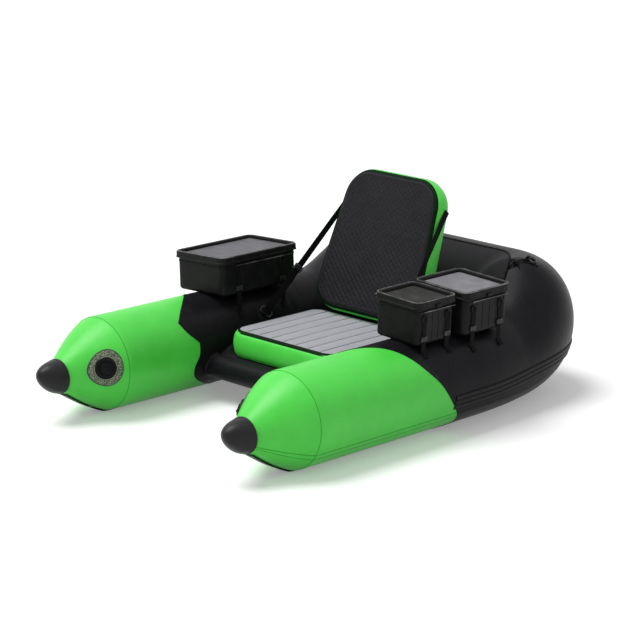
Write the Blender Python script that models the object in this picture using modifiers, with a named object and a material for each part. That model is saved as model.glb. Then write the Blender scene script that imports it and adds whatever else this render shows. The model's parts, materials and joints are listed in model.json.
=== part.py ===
"""Inflatable float tube with a high seat.

Two pontoons run forward from a raised stern tube. A sheet floor between them carries an inflated
seat with a backrest that folds forward, and three lidded boxes are strapped on the pontoons.
Metres, +Z up, bow along -Y, port along +X, standing on the keel strips at Z = 0.
"""
import math
from collections import namedtuple

import bmesh
import bpy
import numpy as np
from mathutils import Matrix, Vector

# Hull, driving dimensions
OVERALL_LENGTH = 1.700
AXIS_SPACING = 0.876
TUBE_RADIUS = 0.158
CONE_LENGTH = 0.175
CAP_LENGTH = 0.0865
NOSE_RADIUS = 0.0525
NOSE_DROP = 0.009
NOSE_TUCK = 0.006
CONE_ROUND_SHARE = 0.35
SKIN = 0.0012
GAP = 0.0003
SEAT_GAP = 0.0006
OVERRUN = 0.010

# Stern and its corners
CORNER_RUN = 0.518
CORNER_INSET = 0.156
STERN_HALF_DEPTH = 0.187
STERN_HALF_HEIGHT = 0.230
WELL_CORNER_LENGTH = 0.176
WELL_CORNER_WIDTH = 0.080
GROWTH_SHARES = (0.38, 0.865)
CORNER_SHARES = (0.15, 0.30, 0.42, 0.54, 0.65, 0.75, 0.84, 0.92, 1.0)
CONE_SHARES = (0.0, 0.2, 0.4, 0.6, 0.8, 1.0)
CORNER_SAMPLES = 200
RING_STEPS = 24
ROD_STEPS = 12

# Colour border, forward reach and its shares every 15 degrees from outboard over the top
BORDER_REACH = 0.340
BORDER_SHARES = (-0.065, -0.156, -0.265, -0.353, -0.435, -0.524, -0.632, -0.759, -0.888, -1.0,
                 -0.941, -0.824, -0.838, -0.891, -0.853, -0.706, -0.529, -0.353, -0.176, 0.029,
                 0.206, 0.206, 0.132, 0.029)

# Keel strip and rub strake
STRIP_WIDTH = 0.045
STRIP_THICKNESS = 0.0035
STRIP_FRONT_SHARE = 0.08
STRIP_END_SHARE = 0.30
STRAKE_HEIGHT = 0.049
STRAKE_BASE = 0.0012
STRAKE_RIB = 0.0032
STRAKE_TOP_FORE = 0.146
STRAKE_TOP_STERN = 0.178
STRAKE_START = 0.020
STRAKE_RIBS = 3
STRAKE_RIB_SHARES = (0.10, 0.28, 0.72, 0.90)
STRAKE_BACK_STEPS = 5

# Nose cap
CAP_RADIUS = 0.0568
CAP_WALL = 0.0034
CAP_RISE = 0.014
CAP_ROUND_SHARE = 0.80
CAP_STATION_SHARES = (0.0, 0.30, 0.55, 0.76, 0.92)

# Inflation valve
VALVE_SETBACK = 0.1005
VALVE_ANGLE = math.radians(168.4)
PATCH_RADIUS = 0.061
PATCH_THICKNESS = 0.0012
VALVE_HOLE_RADIUS = 0.0198
FLANGE_RADIUS = 0.036
FLANGE_TOP = 0.0045
FLANGE_DEPTH = 0.0060
FLANGE_EDGE = 0.0020
BARREL_RADIUS = 0.0175
BARREL_DEPTH = 0.028
BORE_RADIUS = 0.0150
BORE_DEPTH = 0.0120
SEAT_RADIUS = 0.0105
SEAT_TOP = 0.0180
SEAT_BOTTOM = 0.0220
CHAMBER_RADIUS = 0.0145
CAP_KNOB_RADIUS = 0.0205
CAP_KNOB_HEIGHT = 0.0060
CAP_SPIGOT_RADIUS = 0.0140
CAP_SPIGOT_DEPTH = 0.0090
CAP_SPIGOT_WALL = 0.0020
CAP_GRIP_WIDTH = 0.0060
CAP_GRIP_HEIGHT = 0.0040
POPPET_RADIUS = 0.0125
POPPET_THICKNESS = 0.0030
POPPET_STEM_RADIUS = 0.0030
POPPET_STEM_TOP = 0.0110
TURN_STEPS = 16

# Chamber baffle
BAFFLE_THICKNESS = 0.0012

# Front thwart and the floor
THWART_Y = -0.2145
THWART_HEIGHT = 0.112
THWART_RADIUS = 0.0405
THWART_WALL = 0.0012
FLOOR_HEIGHT = 0.150
FLOOR_THICKNESS = 0.0015
FLOOR_BACK_SHARE = 0.84

# Rear apron
APRON_FRONT_SHARE = 0.65
APRON_TOP_ANGLE = math.radians(99.0)
APRON_FOOT_ANGLE = math.radians(180.0)
APRON_THICKNESS = 0.0015

# Seat
SEAT_FRONT = -0.196
SEAT_LENGTH = 0.436
SEAT_PANEL_WIDTH = 0.466
SEAT_BULGE = 0.018
SEAT_THICKNESS = 0.087
SEAT_CORNER = 0.046
SEAT_PAD_MARGIN = 0.004
PAD_THICKNESS = 0.005
PAD_GROOVES = 7
PAD_GROOVE_WIDTH = 0.003
PAD_GROOVE_DEPTH = 0.0015
CUSHION_SKIN = 0.0012
CUSHION_SHARES = (0.0, 0.10, 0.28, 0.50, 0.72, 0.90, 1.0)
ARC_STEPS = 4
PLUG_FLANGE_RADIUS = 0.016
PLUG_FLANGE_THICKNESS = 0.003
PLUG_RADIUS = 0.010
PLUG_DEPTH = 0.010

# Backrest
BACK_SETBACK = 0.0483
BACK_FOOT_LIFT = 0.0360
BACK_WIDTH = 0.390
BACK_FOOT_WIDTH = 0.465
BACK_HEIGHT = 0.472
BACK_RECLINE = math.radians(20.8)
BACK_THICKNESS = 0.066
BACK_BULGE = 0.017
BACK_CORNER = 0.084
TAB_WIDTH = 0.200
TAB_THICKNESS = 0.002

# Backrest straps
STRAP_WIDTH = 0.024
STRAP_THICKNESS = 0.002
STRAP_RISE = 0.364
STRAP_END = 0.034
ANCHOR_Y = 0.030
ANCHOR_ANGLE = math.radians(150.0)
ANCHOR_PATCH = 0.046
ANCHOR_PATCH_THICKNESS = 0.0015
RING_WIRE = 0.0024
RING_WIDTH = 0.044
RING_REACH = 0.022
RING_CORNER = 0.007
RING_STAND = 0.0055
RING_ARC_STEPS = 3
RING_BEVEL_STEPS = 2
SLEEVE_WALL = 0.0016
SLEEVE_LENGTH = 0.016
BUCKLE_SHARE = 0.34
BUCKLE_WIDTH = 0.034
BUCKLE_LENGTH = 0.022
BUCKLE_THICKNESS = 0.008
BUCKLE_SLOT_SPARE = 0.0012
STRAP_STATIONS = 7

# Apron rings on the quarters
APRON_RING_SHARE = 0.84
APRON_RING_ANGLE = math.radians(75.0)
LACING_RADIUS = 0.0045

# Boxes
BOX_LEAN = math.radians(2.7)
BOX_INBOARD = 0.0075
BOX_WALL = 0.003
BOX_INSET = 0.010
BOX_CORNER = 0.030
BOX_FOOT_ROUND = 0.012
BOX_FOOT_SHARE = 0.25
BOX_RIM_INSET = 0.007
RIM_LIP = 0.004
LID_WALL = 0.0025
LID_SKIRT = 0.022
LID_RIM = 0.016
LID_RECESS = 0.012
LID_FLARE = 0.0015
LID_LIP = 0.003
LID_LIP_RISE = 0.0045
LONG_BOX_WIDTH = 0.252
LONG_BOX_LENGTH = 0.367
LONG_BOX_HEIGHT = 0.135
LONG_BOX_Y = 0.038
SHORT_BOX_HEIGHT = 0.145
SHORT_BOX_GAP = 0.010
FORE_BOX_WIDTH = 0.200
FORE_BOX_LENGTH = 0.195
FORE_BOX_Y = -0.0155
AFT_BOX_WIDTH = 0.236
AFT_BOX_LENGTH = 0.232
HINGE_STANDOFF = 0.0065
KNUCKLE_RADIUS = 0.006
KNUCKLE_LENGTH = 0.012
KNUCKLE_GAP = 0.0005
KNUCKLE_WEB = 0.0085
KNUCKLE_DROP = 0.0015
LID_KNUCKLE_STEPS = 8
BODY_KNUCKLE_STEPS = 10
BODY_KNUCKLE_SHARES = (-0.25, 1.0)
HINGE_SHARE = 0.30
PIN_RADIUS = 0.002
TAB_LENGTH = 0.024
TAB_REACH = 0.004
HOLD_WIDTH = 0.020
HOLD_THICKNESS = 0.002
HOLD_SHARE = 0.28
LUG_TOP = 0.100
LUG_HEIGHT = 0.022
LUG_REACH = 0.006
HOLD_FOOT_TURNS = 7
HOLD_FOOT_STEP = math.radians(1.5)
LADDER_WIDTH = 0.026
LADDER_HEIGHT = 0.014
LADDER_REACH = 0.006
LADDER_LIFT = 0.018
SMOOTH_ANGLE = math.radians(32.0)

# Derived places
AXIS_X = AXIS_SPACING / 2
HULL_Z = STRIP_THICKNESS + GAP + TUBE_RADIUS
CAP_TIP_Y = -OVERALL_LENGTH / 2
NOSE_Y = CAP_TIP_Y + CAP_LENGTH
CONE_END_Y = NOSE_Y + CONE_LENGTH
VALVE_RUN = NOSE_Y + VALVE_SETBACK
STERN_AXIS_Y = OVERALL_LENGTH / 2 - STERN_HALF_DEPTH
CORNER_START_Y = STERN_AXIS_Y - CORNER_RUN
CORNER_END_X = AXIS_X - CORNER_INSET
WELL_HALF_WIDTH = AXIS_X - TUBE_RADIUS
WELL_BACK_Y = STERN_AXIS_Y - STERN_HALF_DEPTH
WELL_CORNER_Y = WELL_BACK_Y - WELL_CORNER_LENGTH
WELL_END_X = WELL_HALF_WIDTH - WELL_CORNER_WIDTH
SEAT_TOP_Z = FLOOR_HEIGHT + FLOOR_THICKNESS + GAP + SEAT_THICKNESS
PAD_TOP_Z = SEAT_TOP_Z + GAP + PAD_THICKNESS
SEAT_END = SEAT_FRONT + SEAT_LENGTH
BACK_FOOT_Y = SEAT_END - BACK_SETBACK
BACK_FOOT_Z = PAD_TOP_Z + BACK_FOOT_LIFT
BACK_FOOT_RATIO = BACK_FOOT_WIDTH / BACK_WIDTH
BACK_SIDE_SLOPE = (BACK_WIDTH / 2 + BACK_BULGE) * (BACK_FOOT_RATIO - 1) / BACK_HEIGHT
CUSHION_FRONT = PAD_THICKNESS + GAP
AFT_BOX_Y = FORE_BOX_Y + FORE_BOX_LENGTH / 2 + SHORT_BOX_GAP + AFT_BOX_LENGTH / 2

PARTS_NAME = "float_tube"
CUTTERS_NAME = "cutters"

Section = namedtuple("Section", "centre across half_width height half_height")
Finish = namedtuple("Finish", "colour roughness metallic", defaults=(0.0,))


def smoothstep(share):
    """Ease a share from 0 to 1 with level ends."""
    share = min(max(share, 0.0), 1.0)
    return share * share * (3 - 2 * share)


def length_table(xs, ys):
    """Running length along a line of points."""
    steps = np.hypot(np.diff(xs), np.diff(ys))
    return np.concatenate([[0.0], np.cumsum(steps)])


CORNER_TURNS = np.linspace(0, math.pi / 2, CORNER_SAMPLES)
CORNER_LENGTHS = length_table(CORNER_END_X + CORNER_INSET * np.cos(CORNER_TURNS),
                              CORNER_START_Y + CORNER_RUN * np.sin(CORNER_TURNS))
CORNER_LENGTH = float(CORNER_LENGTHS[-1])
WELL_XS = np.concatenate([[WELL_HALF_WIDTH], WELL_END_X + WELL_CORNER_WIDTH * np.cos(CORNER_TURNS)])
WELL_YS = np.concatenate([[CORNER_START_Y], WELL_CORNER_Y + WELL_CORNER_LENGTH * np.sin(CORNER_TURNS)])
WELL_LENGTHS = length_table(WELL_XS, WELL_YS)
CORNER_END_RUN = CORNER_START_Y + CORNER_LENGTH
MID_RUN = CORNER_END_RUN + CORNER_END_X


def corner_run(share):
    """Run along the tube at a share of the stern corner."""
    return CORNER_START_Y + share * CORNER_LENGTH


HULL_RUNS = ([NOSE_Y + share * CONE_LENGTH for share in CONE_SHARES] + [CORNER_START_Y]
             + [corner_run(share) for share in CORNER_SHARES] + [MID_RUN])


def nose_section(run):
    """Round section of the cone, which narrows and drops towards the nose."""
    share = (run - NOSE_Y) / CONE_LENGTH
    swell = (1 - CONE_ROUND_SHARE) * share + CONE_ROUND_SHARE * math.sin(share * math.pi / 2)
    radius = NOSE_RADIUS + (TUBE_RADIUS - NOSE_RADIUS) * swell
    height = HULL_Z - NOSE_DROP * (1 - swell)
    return Section(Vector((AXIS_X, run)), Vector((1, 0)), radius, height, radius)


def spanned_section(outer, inner, growth):
    """Oval section between a point of the outer wall and one of the well's wall."""
    half_height = TUBE_RADIUS + (STERN_HALF_HEIGHT - TUBE_RADIUS) * growth
    half = (outer - inner) / 2
    height = HULL_Z - TUBE_RADIUS + half_height
    return Section((outer + inner) / 2, half.normalized(), half.length, height, half_height)


def corner_section(share):
    """Oval section in the stern corner, at a share of its length."""
    turn = float(np.interp(share * CORNER_LENGTH, CORNER_LENGTHS, CORNER_TURNS))
    axis = Vector((CORNER_END_X + CORNER_INSET * math.cos(turn),
                   CORNER_START_Y + CORNER_RUN * math.sin(turn)))
    outward = Vector((CORNER_RUN * math.cos(turn), CORNER_INSET * math.sin(turn))).normalized()
    low, high = GROWTH_SHARES
    growth = smoothstep((share - low) / (high - low))
    outer = axis + outward * (TUBE_RADIUS + (STERN_HALF_DEPTH - TUBE_RADIUS) * growth)
    well_length = math.sin(share * math.pi / 2) * float(WELL_LENGTHS[-1])
    inner = Vector((float(np.interp(well_length, WELL_LENGTHS, WELL_XS)),
                    float(np.interp(well_length, WELL_LENGTHS, WELL_YS))))
    return spanned_section(outer, inner, growth)


def stern_section(run):
    """Oval section of the stern tube, fanned from the well's corner to square amidships."""
    share = (MID_RUN - run) / CORNER_END_X
    outer = Vector((CORNER_END_X * share, STERN_AXIS_Y + STERN_HALF_DEPTH))
    inner = Vector((WELL_END_X * share, WELL_BACK_Y))
    return spanned_section(outer, inner, 1.0)


def section_at(run):
    """Section of the port half of the hull at a run from nose to mid stern."""
    if run < CONE_END_Y:
        return nose_section(run)
    if run <= CORNER_START_Y:
        return Section(Vector((AXIS_X, run)), Vector((1, 0)), TUBE_RADIUS, HULL_Z, TUBE_RADIUS)
    if run <= CORNER_END_RUN:
        return corner_section((run - CORNER_START_Y) / CORNER_LENGTH)
    return stern_section(run)


def hull_point(run, angle, offset=0.0):
    """Point at an angle round the port half of the hull, outboard 0, top 90 degrees."""
    section = section_at(run)
    flat = section.centre + section.across * (section.half_width + offset) * math.cos(angle)
    return Vector((flat.x, flat.y, section.height + (section.half_height + offset) * math.sin(angle)))


def hull_frame(run, angle, side):
    """Surface frame: X aft along the hull, Z outward, with the surface point as its origin."""
    step = TUBE_RADIUS / CORNER_SAMPLES
    along = hull_point(run + step, angle) - hull_point(run - step, angle)
    round_tube = hull_point(run, angle + step) - hull_point(run, angle - step)
    normal = along.cross(round_tube).normalized()
    return axes_frame(sided(hull_point(run, angle), side), sided(along, side), sided(normal, side))


def axes_frame(origin, x_axis, z_axis):
    """Frame from an origin, an outward Z axis and a direction for X."""
    z_axis = z_axis.normalized()
    y_axis = z_axis.cross(x_axis).normalized()
    x_axis = y_axis.cross(z_axis)
    frame = Matrix((x_axis, y_axis, z_axis)).transposed().to_4x4()
    frame.translation = origin
    return frame


def sided(vector, side):
    """Port vector moved to the side, +1 port or -1 starboard."""
    return Vector((vector.x * side, vector.y, vector.z))


def runs_between(start, end):
    """Start, the hull's own stations in between, and end."""
    return [start] + [run for run in HULL_RUNS if start + GAP < run < end - GAP] + [end]


def angles_between(start, end):
    """Start, the hull's own ring angles in between, and end."""
    own = [2 * math.pi * step / RING_STEPS for step in range(-RING_STEPS, 2 * RING_STEPS)]
    return [start] + [angle for angle in own if start + GAP < angle < end - GAP] + [end]


def border_y(step):
    """Colour border's Y at a ring step."""
    return BORDER_REACH * BORDER_SHARES[step % RING_STEPS]


def make_material(name, finish):
    """Principled material of a finish."""
    material = bpy.data.materials.new(name)
    material.use_nodes = True
    shader = material.node_tree.nodes["Principled BSDF"]
    shader.inputs["Base Color"].default_value = (*finish.colour, 1.0)
    shader.inputs["Roughness"].default_value = finish.roughness
    shader.inputs["Metallic"].default_value = finish.metallic
    return material


FINISHES = {
    "green_skin": Finish((0.085, 0.560, 0.055), 0.38),
    "black_skin": Finish((0.022, 0.022, 0.024), 0.42),
    "black_rubber": Finish((0.016, 0.016, 0.017), 0.55),
    "black_plastic": Finish((0.020, 0.020, 0.021), 0.45),
    "grey_foam": Finish((0.300, 0.300, 0.315), 0.80),
    "dark_foam": Finish((0.024, 0.024, 0.028), 0.70),
    "webbing": Finish((0.014, 0.014, 0.015), 0.85),
    "dark_cloth": Finish((0.026, 0.026, 0.029), 0.75),
    "box_foam": Finish((0.026, 0.027, 0.027), 0.62),
    "steel": Finish((0.42, 0.42, 0.43), 0.30, 1.0),
}


def add_mesh(name, mesh_cage, finish, matrix=None, parent=None, cutter=False):
    """New object from a finished cage, in the parts' or the cutters' collection."""
    mesh = bpy.data.meshes.new(name)
    mesh_cage.to_mesh(mesh)
    mesh_cage.free()
    mesh.shade_smooth()
    mesh.set_sharp_from_angle(angle=SMOOTH_ANGLE)
    item = bpy.data.objects.new(name, mesh)
    if cutter:
        bpy.data.collections[CUTTERS_NAME].objects.link(item)
        item.hide_render = True
        item.display_type = "WIRE"
    else:
        bpy.data.collections[PARTS_NAME].objects.link(item)
        mesh.materials.append(make_material(name, FINISHES[finish]))
    item.parent = parent
    if matrix is not None:
        item.matrix_world = matrix
    return item


def add_thickness(item, thickness, outward=False):
    """Give an open surface its wall, inward or outward from the modelled face."""
    wall = item.modifiers.new("wall", "SOLIDIFY")
    wall.thickness = thickness
    wall.offset = 1 if outward else -1
    wall.use_even_offset = True


def combine(item, tool, operation="DIFFERENCE"):
    """Cut the tool from the item, or join it on."""
    step = item.modifiers.new(tool.name, "BOOLEAN")
    step.operation = operation
    step.solver = "EXACT"
    step.object = tool


def loft(rings, caps=False, closed=True, wrap=False, tip=None):
    """Surface through rings of equal point counts, optionally capped, wrapped or brought to a tip."""
    cage = bmesh.new()
    rows = [[cage.verts.new(point) for point in ring] for ring in rings]
    count = len(rings[0])
    pairs = list(zip(rows, rows[1:]))
    if wrap:
        pairs.append((rows[-1], rows[0]))
    for near, far in pairs:
        for step in range(count if closed else count - 1):
            after = (step + 1) % count
            cage.faces.new((near[step], far[step], far[after]))
            cage.faces.new((near[step], far[after], near[after]))
    if tip is not None:
        point = cage.verts.new(tip)
        for step in range(count):
            cage.faces.new((rows[0][step], rows[0][(step + 1) % count], point))
    if caps:
        cage.faces.new(rows[0])
        cage.faces.new(reversed(rows[-1]))
        bmesh.ops.recalc_face_normals(cage, faces=cage.faces)
    if wrap:
        bmesh.ops.recalc_face_normals(cage, faces=cage.faces)
    return cage


def mirror_cage(cage, side):
    """Turn a port cage into its starboard twin where the side asks for it."""
    if side < 0:
        bmesh.ops.scale(cage, vec=(-1, 1, 1), verts=cage.verts)
        bmesh.ops.reverse_faces(cage, faces=cage.faces)
    return cage


def block_cage(size, centre=(0, 0, 0)):
    """Box of a size about a centre."""
    cage = bmesh.new()
    bmesh.ops.create_cube(cage, size=1, matrix=Matrix.Translation(centre) @ Matrix.Diagonal((*size, 1)))
    return cage


def rod_cage(radius, start, end, steps=TURN_STEPS):
    """Round bar between two points."""
    start, end = Vector(start), Vector(end)
    turn = (end - start).to_track_quat("Z", "Y").to_matrix().to_4x4()
    cage = bmesh.new()
    bmesh.ops.create_cone(cage, cap_ends=True, segments=steps, radius1=radius, radius2=radius,
                          depth=(end - start).length, matrix=Matrix.Translation((start + end) / 2) @ turn)
    return cage


def upright_point(u, v, place):
    """Point of a flat outline at a height."""
    return Vector((u, v, place))


def lengthwise_point(u, v, place):
    """Point of an outline that stands across the craft, at a place along it."""
    return Vector((u, place, v))


def prism_cage(outline, axis_start, axis_end, to_point):
    """Outline pushed between two places along the third axis of a mapping."""
    rings = [[to_point(u, v, place) for u, v in outline] for place in (axis_start, axis_end)]
    return loft(rings, caps=True)


def join_cages(cages):
    """Several separate closed cages as one."""
    joined = bmesh.new()
    for cage in cages:
        mesh = bpy.data.meshes.new("joined")
        cage.to_mesh(mesh)
        cage.free()
        joined.from_mesh(mesh)
        bpy.data.meshes.remove(mesh)
    return joined


def turned(name, profile, finish, matrix, parent=None, closed=False):
    """Body turned from a profile of (radius, height) that runs down its outer side."""
    cage = bmesh.new()
    points = [cage.verts.new((radius, 0, height)) for radius, height in profile]
    for near, far in zip(points, points[1:]):
        cage.edges.new((near, far))
    if closed:
        cage.edges.new((points[-1], points[0]))
    item = add_mesh(name, cage, finish, matrix, parent)
    screw = item.modifiers.new("turn", "SCREW")
    screw.steps = TURN_STEPS
    screw.render_steps = TURN_STEPS
    screw.use_merge_vertices = True
    screw.merge_threshold = GAP / TURN_STEPS
    return item


def rounded_outline(half_x, half_y, corner, steps=ARC_STEPS):
    """Rounded rectangle's points, anticlockwise from the right."""
    outline = []
    for quarter in range(4):
        sign_x = 1 if quarter in (0, 3) else -1
        sign_y = 1 if quarter in (0, 1) else -1
        for step in range(steps):
            turn = (quarter + step / (steps - 1)) * math.pi / 2
            outline.append((sign_x * (half_x - corner) + corner * math.cos(turn),
                            sign_y * (half_y - corner) + corner * math.sin(turn)))
    return outline


def hull_sheet(runs, angles, offset):
    """Open sheet that lies on the port half of the hull at an offset."""
    rings = [[hull_point(run, angle, offset) for angle in angles] for run in runs]
    return loft(rings, closed=False)


def hull_disc(run, angle, radii, lower, upper):
    """Ring-shaped sheet round a place on the hull, between two offsets."""
    section = section_at(run)
    slope = (hull_point(run + OVERRUN, angle) - hull_point(run - OVERRUN, angle)).length / (2 * OVERRUN)
    rings = []
    for step in range(RING_STEPS):
        turn = 2 * math.pi * step / RING_STEPS
        places = [(run + radius * math.sin(turn) / slope,
                   angle + radius * math.cos(turn) / section.half_width) for radius in radii]
        upper_side = [hull_point(*place, upper) for place in places]
        lower_side = [hull_point(*place, lower) for place in reversed(places)]
        rings.append(upper_side + lower_side)
    return loft(rings, wrap=True)


def side_name(side):
    """Plain name of a side."""
    return "port" if side > 0 else "starboard"


def build_skins(side):
    """Bow and side skins of one pontoon, which meet at the colour border."""
    angles = [2 * math.pi * step / RING_STEPS for step in range(RING_STEPS)]
    bow_runs = [NOSE_Y - NOSE_TUCK] + [run for run in HULL_RUNS if run <= CONE_END_Y + GAP]
    rings = [[hull_point(run, angle) for angle in angles] for run in bow_runs]
    rings.append([hull_point(border_y(step), angle) for step, angle in enumerate(angles)])
    bow = add_mesh(side_name(side) + "_bow_skin", mirror_cage(loft(rings), side), "green_skin")
    add_thickness(bow, SKIN)
    frame = hull_frame(VALVE_RUN, VALVE_ANGLE, side)
    drill = add_mesh(side_name(side) + "_valve_drill",
                     rod_cage(VALVE_HOLE_RADIUS, (0, 0, -BARREL_DEPTH), (0, 0, BARREL_DEPTH)),
                     None, frame, cutter=True)
    combine(bow, drill)

    rings = [[hull_point(border_y(step) + SEAT_GAP, angle) for step, angle in enumerate(angles)]]
    side_runs = [run for run in HULL_RUNS if CORNER_START_Y <= run <= CORNER_END_RUN + GAP]
    rings += [[hull_point(run, angle) for angle in angles] for run in side_runs]
    skin = add_mesh(side_name(side) + "_side_skin", mirror_cage(loft(rings), side), "black_skin")
    add_thickness(skin, SKIN)


def build_stern():
    """Stern skin from corner to corner, the baffle inside it, and the rub strake round it."""
    angles = [2 * math.pi * step / RING_STEPS for step in range(RING_STEPS)]
    runs = [CORNER_END_RUN + SEAT_GAP, MID_RUN]
    rings = [[hull_point(run, angle) for angle in angles] for run in runs]
    rings.append([sided(point, -1) for point in rings[0]])
    add_thickness(add_mesh("stern_skin", loft(rings), "black_skin"), SKIN)

    clearance = -SKIN - GAP
    middle = [hull_point(MID_RUN, angle, clearance) for angle in angles]
    shift = Vector((BAFFLE_THICKNESS / 2, 0, 0))
    faces = [[point + shift for point in middle], [point - shift for point in middle]]
    add_mesh("chamber_baffle", loft(faces, caps=True), "black_skin")
    build_strake()


def strake_ring(run, side):
    """Cross-section of the rub strake: three ribs outside, the tube's curve inside."""
    section = section_at(run)
    share = max(0.0, (run - CORNER_START_Y) / CORNER_LENGTH)
    top = STRAKE_TOP_FORE + (STRAKE_TOP_STERN - STRAKE_TOP_FORE) * smoothstep(share)

    def place(down_share, offset):
        height = top - STRAKE_HEIGHT * down_share
        angle = math.asin((height - section.height) / section.half_height)
        return sided(hull_point(run, angle, offset), side)

    base = SEAT_GAP + STRAKE_BASE
    outer = [place(0, base)]
    for rib in range(STRAKE_RIBS):
        heights = (base, STRAKE_RIB + SEAT_GAP, STRAKE_RIB + SEAT_GAP, base)
        outer += [place((rib + share) / STRAKE_RIBS, height)
                  for share, height in zip(STRAKE_RIB_SHARES, heights)]
    outer.append(place(1, base))
    inner = [place(1 - step / STRAKE_BACK_STEPS, SEAT_GAP) for step in range(STRAKE_BACK_STEPS + 1)]
    return outer + inner


def build_strake():
    """Ribbed belt from border to border round the stern."""
    runs = runs_between(STRAKE_START, MID_RUN)
    rings = [strake_ring(run, 1) for run in runs] + [strake_ring(run, -1) for run in reversed(runs[:-1])]
    add_mesh("rub_strake", loft(rings, caps=True), "black_rubber")


def build_nose_cap(side):
    """Hollow rubber cone over the open nose of the bow skin."""
    nose = section_at(NOSE_Y)
    rings = []
    for share in reversed(CAP_STATION_SHARES):
        radius = CAP_RADIUS * math.cos(share * math.pi / 2) ** CAP_ROUND_SHARE
        centre = Vector((AXIS_X, NOSE_Y - CAP_LENGTH * share, nose.height + CAP_RISE * share * share))
        rings.append([centre + Vector((radius * math.cos(turn), 0, radius * math.sin(turn)))
                      for turn in (2 * math.pi * step / RING_STEPS for step in range(RING_STEPS))])
    tip = Vector((AXIS_X, CAP_TIP_Y, nose.height + CAP_RISE))
    cap = add_mesh(side_name(side) + "_nose_cap", mirror_cage(loft(rings, tip=tip), side), "black_rubber")
    add_thickness(cap, CAP_WALL)


def build_keel_strip(side):
    """Flat wear strip under the pontoon, on which the whole object stands."""
    start = NOSE_Y + STRIP_FRONT_SHARE * CONE_LENGTH
    runs = runs_between(start, corner_run(STRIP_END_SHARE))
    bottom = -math.pi / 2
    points = [hull_point(run, bottom) for run in runs]
    rings = []
    for place, run in enumerate(runs):
        near = points[max(place - 1, 0)]
        far = points[min(place + 1, len(points) - 1)]
        drop = 1.0
        if run < CONE_END_Y - GAP:
            drop = (far - near).length / abs(far.y - near.y)
        across = section_at(run).across.to_3d() * STRIP_WIDTH / 2
        top = points[place] - Vector((0, 0, GAP * drop))
        low = points[place] - Vector((0, 0, GAP + STRIP_THICKNESS * drop))
        rings.append([top + across, top - across, low - across, low + across])
    cage = mirror_cage(loft(rings, caps=True), side)
    add_mesh(side_name(side) + "_keel_strip", cage, "black_rubber")


def build_valve(side):
    """Inflation valve: patch on the skin, flanged body, sprung poppet and turning cap."""
    name = side_name(side)
    patch = hull_disc(VALVE_RUN, VALVE_ANGLE, (VALVE_HOLE_RADIUS, FLANGE_RADIUS, PATCH_RADIUS),
                      SEAT_GAP, SEAT_GAP + PATCH_THICKNESS)
    add_mesh(name + "_valve_patch", mirror_cage(patch, side), "black_skin")
    frame = hull_frame(VALVE_RUN, VALVE_ANGLE, side)
    body_profile = [(BORE_RADIUS, FLANGE_TOP), (FLANGE_RADIUS - FLANGE_EDGE, FLANGE_TOP),
                    (FLANGE_RADIUS, FLANGE_TOP - FLANGE_EDGE), (FLANGE_RADIUS, -FLANGE_DEPTH),
                    (BARREL_RADIUS, -FLANGE_DEPTH), (BARREL_RADIUS, -BARREL_DEPTH),
                    (CHAMBER_RADIUS, -BARREL_DEPTH), (CHAMBER_RADIUS, -SEAT_BOTTOM),
                    (SEAT_RADIUS, -SEAT_BOTTOM), (SEAT_RADIUS, -SEAT_TOP),
                    (BORE_RADIUS, -BORE_DEPTH)]
    body = turned(name + "_valve_body", body_profile, "black_plastic", frame, closed=True)
    saddle_radii = (BARREL_RADIUS + GAP, FLANGE_RADIUS, FLANGE_RADIUS + OVERRUN)
    saddle = hull_disc(VALVE_RUN, VALVE_ANGLE, saddle_radii, -OVERRUN, SEAT_GAP + PATCH_THICKNESS + SEAT_GAP)
    combine(body, add_mesh(name + "_valve_saddle", mirror_cage(saddle, side), None, cutter=True))
    foot = FLANGE_TOP + GAP
    bore = CAP_SPIGOT_RADIUS - CAP_SPIGOT_WALL
    cap_profile = [(0, foot + CAP_KNOB_HEIGHT), (CAP_KNOB_RADIUS - FLANGE_EDGE, foot + CAP_KNOB_HEIGHT),
                   (CAP_KNOB_RADIUS, foot + CAP_GRIP_HEIGHT), (CAP_KNOB_RADIUS, foot),
                   (CAP_SPIGOT_RADIUS, foot), (CAP_SPIGOT_RADIUS, -CAP_SPIGOT_DEPTH),
                   (bore, -CAP_SPIGOT_DEPTH), (bore, 0), (0, 0)]
    cap = turned(name + "_valve_cap", cap_profile, "black_plastic", frame)
    grip = block_cage((2 * (CAP_KNOB_RADIUS - CAP_GRIP_WIDTH), CAP_GRIP_WIDTH, 2 * CAP_GRIP_HEIGHT),
                      (0, 0, foot + CAP_KNOB_HEIGHT))
    combine(cap, add_mesh(name + "_cap_grip", grip, None, frame, cutter=True), "UNION")
    poppet_profile = [(0, -POPPET_STEM_TOP), (POPPET_STEM_RADIUS, -POPPET_STEM_TOP),
                      (POPPET_STEM_RADIUS, -SEAT_BOTTOM - GAP), (POPPET_RADIUS, -SEAT_BOTTOM - GAP),
                      (POPPET_RADIUS, -SEAT_BOTTOM - GAP - POPPET_THICKNESS),
                      (0, -SEAT_BOTTOM - GAP - POPPET_THICKNESS)]
    turned(name + "_valve_poppet", poppet_profile, "black_plastic", frame)


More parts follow.
